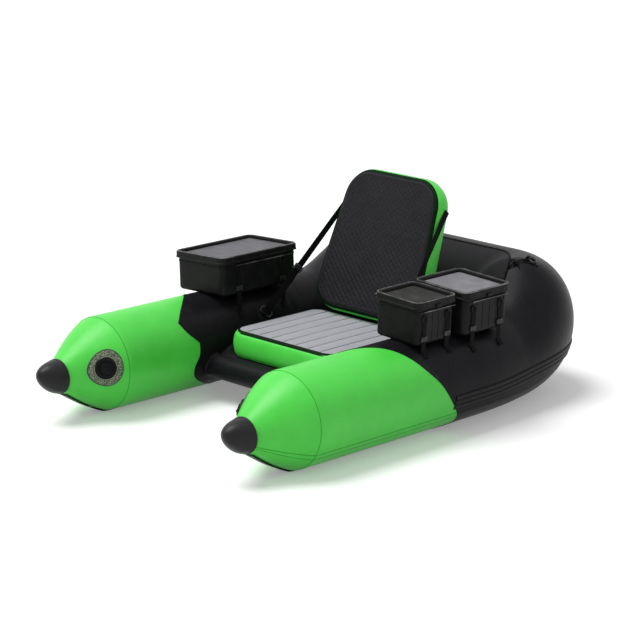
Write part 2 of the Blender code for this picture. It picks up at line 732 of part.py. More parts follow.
def build_thwart():
    """Cross tube in front of the seat, its ends coped round the pontoons."""
    ring = [2 * math.pi * step / RING_STEPS for step in range(RING_STEPS)]
    outline = [(THWART_Y + THWART_RADIUS * math.cos(turn), THWART_HEIGHT + THWART_RADIUS * math.sin(turn))
               for turn in ring]
    rings = [[Vector((x, y, z)) for y, z in outline] for x in (AXIS_X, -AXIS_X)]
    thwart = add_mesh("front_thwart", loft(rings), "black_skin")
    add_thickness(thwart, THWART_WALL)
    for side in (1, -1):
        reach = THWART_RADIUS + OVERRUN
        angles = [2 * math.pi * step / RING_STEPS for step in range(RING_STEPS)]
        rings = [[hull_point(run, angle, SEAT_GAP) for angle in angles]
                 for run in (THWART_Y - reach, THWART_Y + reach)]
        cage = mirror_cage(loft(rings, caps=True), side)
        coper = add_mesh(side_name(side) + "_coper", cage, None, cutter=True)
        combine(thwart, coper)


def wall_point(run, height, clearance):
    """Point of the well's wall at a height, moved into the well by a clearance."""
    section = section_at(run)
    angle = math.pi - math.asin((height - section.height) / section.half_height)
    return hull_point(run, angle, clearance)


def build_floor():
    """Sheet floor from the thwart to the stern, welded to the pontoons along its edges."""
    lift = FLOOR_HEIGHT - THWART_HEIGHT
    front = THWART_Y + math.sqrt(THWART_RADIUS ** 2 - lift ** 2) + SEAT_GAP
    runs = runs_between(front, corner_run(FLOOR_BACK_SHARE))
    port_edge = [wall_point(run, FLOOR_HEIGHT, SEAT_GAP) for run in runs]
    outline = [(point.x, point.y) for point in port_edge]
    outline += [(-x, y) for x, y in reversed(outline)]
    cage = prism_cage(outline, FLOOR_HEIGHT, FLOOR_HEIGHT + FLOOR_THICKNESS, upright_point)
    add_mesh("seat_floor", cage, "dark_cloth")


def build_apron():
    """Cloth apron over the front of the stern tube, from quarter to quarter."""
    runs = runs_between(corner_run(APRON_FRONT_SHARE), MID_RUN)
    angles = angles_between(APRON_TOP_ANGLE, APRON_FOOT_ANGLE)
    apron = add_mesh("rear_apron", hull_sheet(runs, angles, SEAT_GAP), "dark_cloth")
    halves = apron.modifiers.new("halves", "MIRROR")
    halves.merge_threshold = GAP / TURN_STEPS
    add_thickness(apron, APRON_THICKNESS, outward=True)


def cushion_cage(half_x, half_y, corner, thickness, bulge):
    """Inflated cushion about its panel centre: flat faces at Z 0 and below, sides swelling between."""
    rings = []
    for share in CUSHION_SHARES:
        swell = bulge * math.sqrt(max(0.0, 1 - (2 * share - 1) ** 2))
        outline = rounded_outline(half_x + swell, half_y + swell, corner + swell)
        rings.append([Vector((x, y, -thickness * share)) for x, y in outline])
    return loft(rings, caps=True)


def slab_cage(half_x, half_y, corner, low, high):
    """Flat rounded slab."""
    return prism_cage(rounded_outline(half_x, half_y, corner), low, high, upright_point)


def widened_to_foot(cage, half_y):
    """Backrest's cage with its width growing from the top to the foot, at the lowest Y."""
    for vert in cage.verts:
        vert.co.x *= 1 + (BACK_FOOT_RATIO - 1) * (half_y - vert.co.y) / (2 * half_y)
    return cage


def plugged_cushion(name, cage, matrix, wall_place, wall_normal, parent=None):
    """Hollow cushion with a bore and its plug at a place of its wall, given in the cushion's frame."""
    cushion = add_mesh(name, cage, "green_skin", matrix, parent)
    add_thickness(cushion, CUSHION_SKIN)
    frame = axes_frame(wall_place, Vector((1, 0, 0)), wall_normal)
    bore = rod_cage(PLUG_RADIUS + GAP, (0, 0, -PLUG_DEPTH), (0, 0, PLUG_DEPTH))
    combine(cushion, add_mesh(name + "_bore", bore, None, matrix @ frame, cutter=True))
    profile = [(0, GAP + PLUG_FLANGE_THICKNESS), (PLUG_FLANGE_RADIUS, GAP + PLUG_FLANGE_THICKNESS),
               (PLUG_FLANGE_RADIUS, GAP), (PLUG_RADIUS, GAP), (PLUG_RADIUS, -PLUG_DEPTH), (0, -PLUG_DEPTH)]
    turned(name.replace("cushion", "valve_plug"), profile, "black_plastic", matrix @ frame, parent)
    return cushion


def build_seat():
    """Seat cushion on the floor, with its plug beside the backrest's tab, and its grooved foam pad."""
    centre_y = SEAT_FRONT + SEAT_LENGTH / 2
    half_x = SEAT_PANEL_WIDTH / 2
    half_y = SEAT_LENGTH / 2 - SEAT_BULGE
    matrix = Matrix.Translation((0, centre_y, SEAT_TOP_Z))
    cage = cushion_cage(half_x, half_y, SEAT_CORNER, SEAT_THICKNESS, SEAT_BULGE)
    plug_place = Vector((TAB_WIDTH / 2 + 2 * PLUG_FLANGE_RADIUS, SEAT_END - centre_y, -SEAT_THICKNESS / 2))
    plugged_cushion("seat_cushion", cage, matrix, plug_place, Vector((0, 1, 0)))
    pad_x = half_x - SEAT_PAD_MARGIN
    pad_y = half_y - SEAT_PAD_MARGIN
    slab = slab_cage(pad_x, pad_y, SEAT_CORNER, GAP, GAP + PAD_THICKNESS)
    pad = add_mesh("seat_pad", slab, "grey_foam", matrix)
    spacing = 2 * pad_x / (PAD_GROOVES + 1)
    grooves = [block_cage((PAD_GROOVE_WIDTH, 2 * (pad_y - SEAT_CORNER / 2), 2 * PAD_GROOVE_DEPTH),
                          (spacing * (step + 1) - pad_x, 0, GAP + PAD_THICKNESS))
               for step in range(PAD_GROOVES)]
    combine(pad, add_mesh("seat_pad_grooves", join_cages(grooves), None, matrix, cutter=True))


def build_backrest():
    """Backrest cushion and pad, which fold forward about the cushion's front lower edge.

    The tab stands against the seat cushion's end and reaches the backrest's underside.
    """
    hinge = bpy.data.objects.new("backrest_hinge_axis", None)
    bpy.data.collections[PARTS_NAME].objects.link(hinge)
    up = Vector((0, math.sin(BACK_RECLINE), math.cos(BACK_RECLINE)))
    front = Vector((0, -math.cos(BACK_RECLINE), math.sin(BACK_RECLINE)))
    foot = Vector((0, BACK_FOOT_Y, BACK_FOOT_Z))
    hinge.matrix_world = axes_frame(foot - front * CUSHION_FRONT, Vector((1, 0, 0)), front)
    bpy.context.view_layer.update()
    panel = axes_frame(foot - front * CUSHION_FRONT + up * BACK_HEIGHT / 2, Vector((1, 0, 0)), front)
    cage = cushion_cage(BACK_WIDTH / 2, BACK_HEIGHT / 2, BACK_CORNER, BACK_THICKNESS, BACK_BULGE)
    cage = widened_to_foot(cage, BACK_HEIGHT / 2)
    plug_place = Vector((0, -BACK_HEIGHT / 4, -BACK_THICKNESS))
    plugged_cushion("backrest_cushion", cage, panel, plug_place, Vector((0, 0, -1)), hinge)
    pad = slab_cage(BACK_WIDTH / 2, BACK_HEIGHT / 2, BACK_CORNER, GAP, CUSHION_FRONT)
    add_mesh("backrest_pad", widened_to_foot(pad, BACK_HEIGHT / 2), "dark_foam", panel, hinge)

    middle = foot - front * (CUSHION_FRONT + BACK_THICKNESS / 2)
    turns = [math.pi * step / RING_STEPS for step in range(RING_STEPS)]
    lowest = min((middle - up * BACK_BULGE * math.sin(turn) + front * BACK_THICKNESS / 2 * math.cos(turn)
                  for turn in turns), key=lambda point: point.z)
    tab_foot, tab_top = SEAT_TOP_Z - SEAT_THICKNESS / 2, lowest.z - GAP
    tab_size = (TAB_WIDTH, TAB_THICKNESS, tab_top - tab_foot)
    tab_centre = (0, SEAT_END + GAP + TAB_THICKNESS / 2, (tab_top + tab_foot) / 2)
    add_mesh("backrest_hinge_tab", block_cage(tab_size, tab_centre), "webbing")


def ribbon_cage(points, widths, thickness):
    """Webbing through points, each with its width vector, closed at both ends."""
    rings = []
    for place, (point, width) in enumerate(zip(points, widths)):
        near = points[max(place - 1, 0)]
        far = points[min(place + 1, len(points) - 1)]
        tangent = (far - near).normalized()
        across = (width - tangent * width.dot(tangent)).normalized() * width.length / 2
        out = tangent.cross(across).normalized() * thickness / 2
        rings.append([point + across + out, point - across + out,
                      point - across - out, point + across - out])
    return loft(rings, caps=True)


def ring_outline():
    """Rounded rectangle of a strap ring, its base bar's middle at the origin."""
    outline = rounded_outline(RING_WIDTH / 2, RING_REACH / 2, RING_CORNER, RING_ARC_STEPS)
    return [Vector((x, y + RING_REACH / 2, 0)) for x, y in outline]


def add_ring(name, frame):
    """Welded wire ring in the XY plane of its frame, its base bar along X through the origin."""
    curve = bpy.data.curves.new(name, "CURVE")
    curve.dimensions = "3D"
    curve.bevel_depth = RING_WIRE
    curve.bevel_resolution = RING_BEVEL_STEPS
    spline = curve.splines.new("POLY")
    points = ring_outline()
    spline.points.add(len(points) - 1)
    for place, point in zip(spline.points, points):
        place.co = (*point, 1)
    spline.use_cyclic_u = True
    ring = bpy.data.objects.new(name, curve)
    bpy.data.collections[PARTS_NAME].objects.link(ring)
    ring.matrix_world = frame
    curve.materials.append(make_material(name, FINISHES["steel"]))
    return ring


def add_ring_patch(name, run, angle, side, bar_frame):
    """Patch on the hull with the sleeve that holds a ring's base bar."""
    half = ANCHOR_PATCH / 2
    reach = half / section_at(run).half_width
    angles = angles_between(angle - reach, angle + reach)
    cage = hull_sheet(runs_between(run - half, run + half), angles, SEAT_GAP)
    patch = add_mesh(name, mirror_cage(cage, side), "black_skin")
    add_thickness(patch, ANCHOR_PATCH_THICKNESS, outward=True)
    bore = RING_WIRE + GAP
    start, end = Vector((-SLEEVE_LENGTH / 2, 0, 0)), Vector((SLEEVE_LENGTH / 2, 0, 0))
    sleeve = rod_cage(bore + SLEEVE_WALL, start, end, ROD_STEPS)
    combine(patch, add_mesh(name + "_sleeve", sleeve, None, bar_frame, cutter=True), "UNION")
    drill = rod_cage(bore, start * 2, end * 2, ROD_STEPS)
    combine(patch, add_mesh(name + "_drill", drill, None, bar_frame, cutter=True))


def strap_ends(side):
    """Lower ring's bar frame, and the strap's upper end on the backrest's side wall with its normal."""
    up = Vector((0, math.sin(BACK_RECLINE), math.cos(BACK_RECLINE)))
    front = Vector((0, -math.cos(BACK_RECLINE), math.sin(BACK_RECLINE)))
    foot = Vector((0, BACK_FOOT_Y, BACK_FOOT_Z))
    half_width = BACK_WIDTH / 2 + BACK_BULGE + BACK_SIDE_SLOPE * (BACK_HEIGHT - STRAP_RISE)
    wall_normal = (Vector((1, 0, 0)) + up * BACK_SIDE_SLOPE).normalized()
    wall = foot + up * STRAP_RISE - front * (CUSHION_FRONT + BACK_THICKNESS / 2)
    top = wall + Vector((half_width, 0, 0)) + wall_normal * (GAP + STRAP_THICKNESS / 2)
    surface = hull_frame(ANCHOR_Y, ANCHOR_ANGLE, 1)
    normal = surface.col[2].to_3d()
    base = surface.translation + normal * RING_STAND
    pull = (top - base).normalized()
    bar = normal.cross(pull).normalized()
    plane_normal = bar.cross(pull)
    frame = axes_frame(sided(base, side), sided(bar, side), sided(plane_normal, side))
    return frame, *(sided(vector, side) for vector in (base, top, pull, bar, wall_normal))


def build_strap(side):
    """Backrest strap with its lower ring, the ring's patch and the ladder-lock buckle."""
    name = side_name(side)
    frame, base, top, pull, bar, wall_normal = strap_ends(side)
    ring_frame = frame.copy()
    if ring_frame.col[1].to_3d().dot(pull) < 0:
        ring_frame = ring_frame @ Matrix.Rotation(math.pi, 4, "X")
    add_ring(name + "_strap_ring", ring_frame)
    add_ring_patch(name + "_ring_patch", ANCHOR_Y, ANCHOR_ANGLE, side, frame)

    turn_radius = RING_WIRE + SEAT_GAP + STRAP_THICKNESS / 2
    out = ring_frame.col[2].to_3d() * (-1 if ring_frame.col[2].x * side > 0 else 1)
    far_bar = base + pull * RING_REACH
    points = [far_bar + pull * STRAP_WIDTH - out * (turn_radius + GAP)]
    for step in range(RING_ARC_STEPS + 1):
        turn = math.pi * step / RING_ARC_STEPS
        points.append(far_bar - pull * turn_radius * math.sin(turn) - out * turn_radius * math.cos(turn))
    top_width = pull.cross(wall_normal).normalized()
    if top_width.dot(bar) < 0:
        top_width = -top_width
    along_wall = top_width.cross(wall_normal).normalized()
    if along_wall.dot(pull) < 0:
        along_wall = -along_wall
    start = far_bar + out * turn_radius + pull * STRAP_WIDTH
    widths = [bar * STRAP_WIDTH] * len(points)
    for step in range(STRAP_STATIONS):
        share = step / (STRAP_STATIONS - 1)
        points.append(start.lerp(top, share))
        widths.append(bar.lerp(top_width, share).normalized() * STRAP_WIDTH)
    points.append(top + along_wall * STRAP_END)
    widths.append(top_width * STRAP_WIDTH)
    add_mesh(name + "_back_strap", ribbon_cage(points, widths, STRAP_THICKNESS), "webbing")

    centre = start.lerp(top, BUCKLE_SHARE)
    line = (top - start).normalized()
    width = bar.lerp(top_width, BUCKLE_SHARE)
    buckle_frame = axes_frame(centre, width, line.cross(width))
    block = block_cage((BUCKLE_WIDTH, BUCKLE_LENGTH, BUCKLE_THICKNESS))
    buckle = add_mesh(name + "_strap_buckle", block, "black_plastic", buckle_frame)
    slot_height = STRAP_THICKNESS + BUCKLE_SLOT_SPARE
    slot = block_cage((STRAP_WIDTH + STRAP_THICKNESS, 2 * BUCKLE_LENGTH, slot_height))
    combine(buckle, add_mesh(name + "_buckle_slot", slot, None, buckle_frame, cutter=True))


def build_apron_ring(side):
    """Ring and patch on the quarter, laced to the apron's corner."""
    name = side_name(side)
    run = corner_run(APRON_RING_SHARE)
    surface = hull_frame(run, APRON_RING_ANGLE, 1)
    normal = surface.col[2].to_3d()
    corner = hull_point(corner_run(APRON_FRONT_SHARE) + ANCHOR_PATCH, APRON_TOP_ANGLE,
                        SEAT_GAP + APRON_THICKNESS + GAP + LACING_RADIUS)
    base = surface.translation + normal * RING_STAND
    pull = corner - base
    pull = (pull - normal * pull.dot(normal)).normalized()
    bar = normal.cross(pull).normalized()
    frame = axes_frame(sided(base, side), sided(bar, side), sided(normal, side))
    ring_frame = frame
    if frame.col[1].to_3d().dot(sided(pull, side)) < 0:
        ring_frame = frame @ Matrix.Rotation(math.pi, 4, "Z")
    add_ring(name + "_apron_ring", ring_frame)
    add_ring_patch(name + "_apron_ring_patch", run, APRON_RING_ANGLE, side, frame)
    far_bar = base + pull * (RING_REACH + RING_WIRE + GAP)
    lacing = rod_cage(LACING_RADIUS / 2, sided(far_bar, side), sided(corner, side), ROD_STEPS)
    add_mesh(name + "_apron_lacing", lacing, "webbing")


def box_frame(x_side, y):
    """Frame of a box: its foot's middle on the tube's top, leaning outboard."""
    normal = Vector((math.sin(BOX_LEAN) * x_side, 0, math.cos(BOX_LEAN)))
    along_x = Vector((math.cos(BOX_LEAN), 0, -math.sin(BOX_LEAN) * x_side))
    seat = Vector((AXIS_X * x_side, y, HULL_Z)) + normal * (TUBE_RADIUS + GAP)
    return axes_frame(seat - along_x * BOX_INBOARD * x_side, along_x, normal)


def tube_axis_in_box(x_side):
    """Pontoon axis in a box's frame, across and down."""
    return Vector((BOX_INBOARD * x_side, -(TUBE_RADIUS + GAP)))


def outline_ring(half_x, half_y, inset, corner, height):
    """Rounded ring at an inset from the lid's outline."""
    outline = rounded_outline(half_x - inset, half_y - inset, max(corner - inset, BOX_WALL + GAP))
    return [Vector((x, y, height)) for x, y in outline]


def surface_cup(rings, last_cap):
    """Open cup from rings, closed over its last ring or its first."""
    cage = loft(rings)
    cage.verts.ensure_lookup_table()
    count = len(rings[0])
    first = [cage.verts[place] for place in range(count)]
    last = [cage.verts[place] for place in range(len(cage.verts) - count, len(cage.verts))]
    cage.faces.new(reversed(last) if last_cap else first)
    return cage


def knuckle_outline(lid):
    """Hinge knuckle about the pin, with its web to the lid's skirt or, under it, to the body's wall."""
    radius = KNUCKLE_RADIUS
    if lid:
        turns = [math.pi / 2 + math.pi * step / LID_KNUCKLE_STEPS for step in range(LID_KNUCKLE_STEPS + 1)]
        web = HINGE_STANDOFF + LID_FLARE + LID_WALL / 2
        arc = [(radius * math.cos(turn), radius * math.sin(turn)) for turn in turns]
        return arc + [(web, -radius), (web, radius)]
    first, last = BODY_KNUCKLE_SHARES
    turns = [math.pi * (first + (last - first) * step / BODY_KNUCKLE_STEPS)
             for step in range(BODY_KNUCKLE_STEPS + 1)]
    low = -radius - KNUCKLE_DROP
    web = HINGE_STANDOFF + BOX_INSET + BOX_WALL / 2
    foot = low - KNUCKLE_WEB
    arc = [(radius * math.cos(turn), radius * math.sin(turn)) for turn in turns]
    return arc + [(-radius, foot), (web, foot), (web, low), (radius * math.cos(turns[0]), low)]


def build_box(name, x_side, y, width, length, height):
    """One strapped box: open body, hinged lid with a recessed panel, pin and two hold-down straps."""
    frame = box_frame(x_side, y)
    half_x, half_y = width / 2, length / 2
    skirt_z = height - LID_SKIRT
    rim_z = height - LID_WALL - SEAT_GAP
    neck_z = skirt_z - RIM_LIP
    body_rings = [outline_ring(half_x, half_y, inset, BOX_CORNER, z) for inset, z in (
        (BOX_INSET + BOX_FOOT_ROUND, 0),
        (BOX_INSET + BOX_FOOT_ROUND * BOX_FOOT_SHARE, BOX_FOOT_ROUND * BOX_FOOT_SHARE),
        (BOX_INSET, BOX_FOOT_ROUND), (BOX_INSET, neck_z), (BOX_RIM_INSET, skirt_z), (BOX_RIM_INSET, rim_z))]
    body = add_mesh(name + "_body", surface_cup(list(reversed(body_rings)), True), "box_foam", frame)
    add_thickness(body, BOX_WALL)

    hinge_place = Vector((-half_x - HINGE_STANDOFF, 0, skirt_z + KNUCKLE_RADIUS))
    lid_frame = frame @ Matrix.Translation(hinge_place)
    lid_rings = [outline_ring(half_x, half_y, inset, BOX_CORNER, z - KNUCKLE_RADIUS) for inset, z in (
        (0, 0), (0, LID_LIP), (LID_FLARE, LID_LIP_RISE), (LID_FLARE, LID_SKIRT - RIM_LIP),
        (LID_LIP, LID_SKIRT - LID_FLARE), (RIM_LIP + LID_FLARE, LID_SKIRT),
        (LID_RIM, LID_SKIRT), (LID_RIM + LID_FLARE, LID_SKIRT - LID_FLARE),
        (LID_RIM + LID_FLARE, LID_SKIRT - LID_RECESS))]
    shift = Vector((half_x + HINGE_STANDOFF, 0, 0))
    lid_rings = [[point + shift for point in ring] for ring in lid_rings]
    lid = add_mesh(name + "_lid", surface_cup(list(reversed(lid_rings)), False), "box_foam", lid_frame)
    add_thickness(lid, LID_WALL)
    build_hinge(name, body, lid, lid_frame, half_y)

    tab = block_cage((TAB_REACH + LID_WALL, TAB_LENGTH, LID_SKIRT / 2),
                     (width + HINGE_STANDOFF + (TAB_REACH - LID_WALL) / 2, 0, LID_LIP))
    combine(lid, add_mesh(name + "_lid_tab", tab, None, lid_frame, cutter=True), "UNION")
    build_hold_downs(name, body, frame, x_side, half_x, half_y)


def build_hinge(name, body, lid, lid_frame, half_y):
    """Two pairs of knuckles and the pin through them."""
    body_knuckles, lid_knuckles = [], []
    reach = 2 * HINGE_SHARE * half_y
    for sign in (-1, 1):
        start = sign * reach
        body_span = sorted((start, start + sign * KNUCKLE_LENGTH))
        lid_span = sorted((start - sign * KNUCKLE_GAP, start - sign * (KNUCKLE_GAP + KNUCKLE_LENGTH)))
        body_knuckles.append(prism_cage(knuckle_outline(False), *body_span, lengthwise_point))
        lid_knuckles.append(prism_cage(knuckle_outline(True), *lid_span, lengthwise_point))
    end = reach + KNUCKLE_LENGTH + KNUCKLE_GAP
    drill = rod_cage(PIN_RADIUS + GAP, (0, -end - OVERRUN, 0), (0, end + OVERRUN, 0), ROD_STEPS)
    drill = add_mesh(name + "_hinge_drill", drill, None, lid_frame, cutter=True)
    for item, cages in ((body, body_knuckles), (lid, lid_knuckles)):
        tool = add_mesh(item.name + "_knuckles", join_cages(cages), None, lid_frame, cutter=True)
        combine(item, tool, "UNION")
        combine(item, drill)
    pin = rod_cage(PIN_RADIUS, (0, -end, 0), (0, end, 0), ROD_STEPS)
    add_mesh(name + "_hinge_pin", pin, "steel", lid_frame)


def build_hold_downs(name, body, frame, x_side, half_x, half_y):
    """Lugs on the port-facing wall and the webbing from each lug down to the pontoon."""
    wall_x = half_x - BOX_INSET
    lugs = []
    for end, sign in (("fore", -1), ("aft", 1)):
        along = sign * 2 * HOLD_SHARE * half_y
        lugs.append(block_cage((LUG_REACH + BOX_WALL / 2, LADDER_WIDTH, LUG_HEIGHT),
                               (wall_x + (LUG_REACH - BOX_WALL / 2) / 2, along, LUG_TOP - LUG_HEIGHT / 2)))
        axis = tube_axis_in_box(x_side)
        radius = TUBE_RADIUS + SEAT_GAP + HOLD_THICKNESS / 2
        strap_x = wall_x + SEAT_GAP + HOLD_THICKNESS / 2
        first = math.acos((strap_x - axis.x) / radius)
        turns = [first - step * HOLD_FOOT_STEP for step in range(HOLD_FOOT_TURNS)]
        foot = [(axis.x + radius * math.cos(turn), axis.y + radius * math.sin(turn)) for turn in turns]
        line = [(strap_x, LUG_TOP - LUG_HEIGHT - GAP), (strap_x, 0)] + foot
        points = [Vector((x, along, z)) for x, z in line]
        widths = [Vector((0, HOLD_WIDTH, 0))] * len(points)
        ribbon = ribbon_cage(points, widths, HOLD_THICKNESS)
        strap = add_mesh(name + "_" + end + "_strap", ribbon, "webbing", frame)
        ladder = block_cage((LADDER_REACH, LADDER_WIDTH, LADDER_HEIGHT),
                            (strap_x - HOLD_THICKNESS / 2 + LADDER_REACH / 2, along, LADDER_LIFT))
        combine(strap, add_mesh(name + "_" + end + "_ladder", ladder, None, frame, cutter=True), "UNION")
    combine(body, add_mesh(name + "_lugs", join_cages(lugs), None, frame, cutter=True), "UNION")


def build_boxes():
    """The long box to starboard and the two short ones in line to port."""
    build_box("starboard_box", -1, LONG_BOX_Y, LONG_BOX_WIDTH, LONG_BOX_LENGTH, LONG_BOX_HEIGHT)
    build_box("port_fore_box", 1, FORE_BOX_Y, FORE_BOX_WIDTH, FORE_BOX_LENGTH, SHORT_BOX_HEIGHT)
    build_box("port_aft_box", 1, AFT_BOX_Y, AFT_BOX_WIDTH, AFT_BOX_LENGTH, SHORT_BOX_HEIGHT)


def main():
    """Build the whole float tube."""
    for item in list(bpy.data.objects):
        bpy.data.objects.remove(item, do_unlink=True)
    for name in (PARTS_NAME, CUTTERS_NAME):
        bpy.context.scene.collection.children.link(bpy.data.collections.new(name))
    for side in (1, -1):
        build_skins(side)
        build_nose_cap(side)
        build_keel_strip(side)
        build_valve(side)
        build_strap(side)
        build_apron_ring(side)
    build_stern()
    build_thwart()
    build_floor()
    build_apron()
    build_seat()
    build_backrest()
    build_boxes()


main()
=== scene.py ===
"""The float tube dressed for its picture: coated fabric, foam, webbing and moulded boxes.

Metres, +Z up, bow along -Y, port along +X, standing on the keel strips at Z = 0.
"""

import json
import logging
from dataclasses import dataclass
from enum import Enum
from functools import cached_property
from math import acos, asin, copysign, cos, exp, pi, radians, sin, sqrt
from typing import Callable, Sequence

import bmesh
import bpy
import numpy as np
from mathutils import Matrix, Quaternion, Vector, noise

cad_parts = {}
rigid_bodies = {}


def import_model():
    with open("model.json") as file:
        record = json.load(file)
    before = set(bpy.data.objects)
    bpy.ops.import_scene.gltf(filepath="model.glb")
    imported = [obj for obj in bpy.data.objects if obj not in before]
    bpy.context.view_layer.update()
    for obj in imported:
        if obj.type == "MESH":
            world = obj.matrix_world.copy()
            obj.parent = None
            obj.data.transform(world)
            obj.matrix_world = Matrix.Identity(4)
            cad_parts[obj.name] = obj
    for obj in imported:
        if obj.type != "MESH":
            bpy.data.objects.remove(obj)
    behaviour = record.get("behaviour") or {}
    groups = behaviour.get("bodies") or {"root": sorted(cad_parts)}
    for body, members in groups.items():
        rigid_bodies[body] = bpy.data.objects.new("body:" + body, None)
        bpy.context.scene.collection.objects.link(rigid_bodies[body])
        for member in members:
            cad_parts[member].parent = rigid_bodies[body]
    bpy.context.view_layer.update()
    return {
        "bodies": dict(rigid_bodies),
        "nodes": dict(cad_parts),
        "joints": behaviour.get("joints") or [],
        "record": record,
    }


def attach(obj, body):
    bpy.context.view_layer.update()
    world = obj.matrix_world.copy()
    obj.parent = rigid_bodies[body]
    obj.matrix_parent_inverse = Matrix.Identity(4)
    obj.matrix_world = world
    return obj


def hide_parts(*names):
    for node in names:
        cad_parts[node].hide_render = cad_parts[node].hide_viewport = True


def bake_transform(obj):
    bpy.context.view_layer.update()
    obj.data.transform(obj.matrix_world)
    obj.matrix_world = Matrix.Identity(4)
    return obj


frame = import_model()

LOG = logging.getLogger("float_tube")
METRES = "metres"
HULL_BODY = "hull"
BACK_BODY = "backrest"
FULL_TURN = 2 * pi
WAVE_RATE = 20.0
X_AXIS = Vector((1, 0, 0))
Colour = tuple[float, float, float]
Rows = list[list[Vector]]
Outline = Sequence[tuple[float, float]]
Amount = float | Vector
Socket = bpy.types.NodeSocket
Cage = bmesh.types.BMesh
Piece = bpy.types.Object


class Side(Enum):
    """The two sides of the craft, by the sign of their X."""

    PORT = 1
    STARBOARD = -1

    @property
    def label(self) -> str:
        """Lower-case name that starts the names of the side's pieces."""
        return self.name.lower()

    def turn(self, point: Vector) -> Vector:
        """Point of the port half, moved to this side."""
        return Vector((point.x * self.value, point.y, point.z))


class Weave(Enum):
    """Fabric faces, each with the pitch of its threads in metres."""

    COATED = 0.0011
    CLOTH = 0.0016
    WEBBING = 0.0022


# Finishes


class Recipe:
    """Node tree of one material, filled step by step."""

    def __init__(self, name: str, colour: Colour, roughness: float, metallic: float = 0.0) -> None:
        """Start from a plain shader.

        Args:
            name: name of the material.
            colour: linear base colour.
            roughness: roughness where nothing else drives it.
            metallic: 1 for bare metal.
        """
        self.material = bpy.data.materials.new(name)
        self.material.use_nodes = True
        self.nodes = self.material.node_tree.nodes
        self.shader = self.nodes["Principled BSDF"]
        self.set(self.shader, {"Base Color": colour, "Roughness": roughness, "Metallic": metallic})
        self.place = self.add("ShaderNodeTexCoord").outputs["Object"]
        self.flat = self.add("ShaderNodeUVMap", uv_map=METRES).outputs["UV"]

    def add(self, kind: str, values: dict[str | int, object] | None = None,
            **choices: object) -> bpy.types.Node:
        """New node.

        Args:
            kind: Blender's name of the node type.
            values: its sockets' values, or the sockets that feed them.
            choices: its attributes and their values.

        Returns:
            The node.
        """
        node = self.nodes.new(kind)
        for key, value in choices.items():
            setattr(node, key, value)
        self.set(node, values or {})
        return node

    def set(self, node: bpy.types.Node, values: dict[str | int, object]) -> None:
        """Give sockets their values, or join them to other sockets.

        Args:
            node: the node.
            values: socket's name or place to a value or to an output socket.
        """
        for key, value in values.items():
            socket = node.inputs[key]
            if isinstance(value, Socket):
                self.material.node_tree.links.new(value, socket)
            else:
                socket.default_value = (*value, 1.0) if socket.type == "RGBA" else value

    def mottle(self, size: float, detail: float = 3.0, stretch: Sequence[float] = (1, 1, 1)) -> Socket:
        """Cloudy value from 0 to 1.

        Args:
            size: width of a cloud in metres.
            detail: how many finer layers it has.
            stretch: length of the clouds along each axis, as a multiple.

        Returns:
            The value's socket.
        """
        scale = tuple(1 / share for share in stretch)
        mapping = self.add("ShaderNodeMapping", {"Vector": self.place, "Scale": scale})
        node = self.add("ShaderNodeTexNoise",
            {"Vector": mapping.outputs["Vector"], "Scale": 1 / size, "Detail": detail, "Roughness": 0.55})
        return node.outputs["Fac"]

    def cells(self, size: float) -> Socket:
        """Distance within small cells of a size in metres."""
        return self.add("ShaderNodeTexVoronoi",
            {"Vector": self.place, "Scale": 1 / size}).outputs["Distance"]

    def threads(self, pitch: float, across: bool) -> Socket:
        """Ribs of threads over the flat cloth.

        Args:
            pitch: distance between threads in metres.
            across: whether the threads run across the cloth.

        Returns:
            The ribs' height from 0 to 1.
        """
        scale = FULL_TURN / (WAVE_RATE * pitch)
        node = self.add("ShaderNodeTexWave", {"Vector": self.flat, "Scale": scale, "Distortion": 0.0},
            bands_direction="Y" if across else "X", wave_profile="SIN")
        return node.outputs["Fac"]

    def span(self, value: Socket, low: float, high: float, start: float = 0.0, end: float = 1.0) -> Socket:
        """Bring a value's span from start to end to the span from low to high."""
        bounds = {"From Min": start, "From Max": end, "To Min": low, "To Max": high}
        return self.add("ShaderNodeMapRange", {"Value": value, **bounds}).outputs["Result"]

    def maths(self, operation: str, first: object, second: object) -> Socket:
        """One sum of two values or sockets."""
        return self.add("ShaderNodeMath", {0: first, 1: second}, operation=operation).outputs[0]

    def blend(self, share: Socket, low: object, high: object) -> Socket:
        """Colour between a low one where the share is 0 and a high one where it is 1."""
        return self.add("ShaderNodeMix", {0: share, 6: low, 7: high}, data_type="RGBA").outputs[2]

    def surface(self, tint: Socket, share: Socket, rough: tuple[float, float], gloss: float) -> None:
        """Drive the shader's colour, its roughness between two bounds and its gloss."""
        self.set(self.shader, {"Base Color": tint, "Roughness": self.span(share, *rough),
            "Specular IOR Level": gloss})

    def relief(self, layers: Sequence[tuple[Socket, float]]) -> None:
        """Stack bumps on the shader's normal.

        Args:
            layers: heights from 0 to 1, each with its depth in metres.
        """
        below = {}
        for height, depth in layers:
            bump = self.add("ShaderNodeBump",
                {"Height": height, "Distance": depth, "Strength": 1.0, **below})
            below = {"Normal": bump.outputs["Normal"]}
        self.set(self.shader, below)


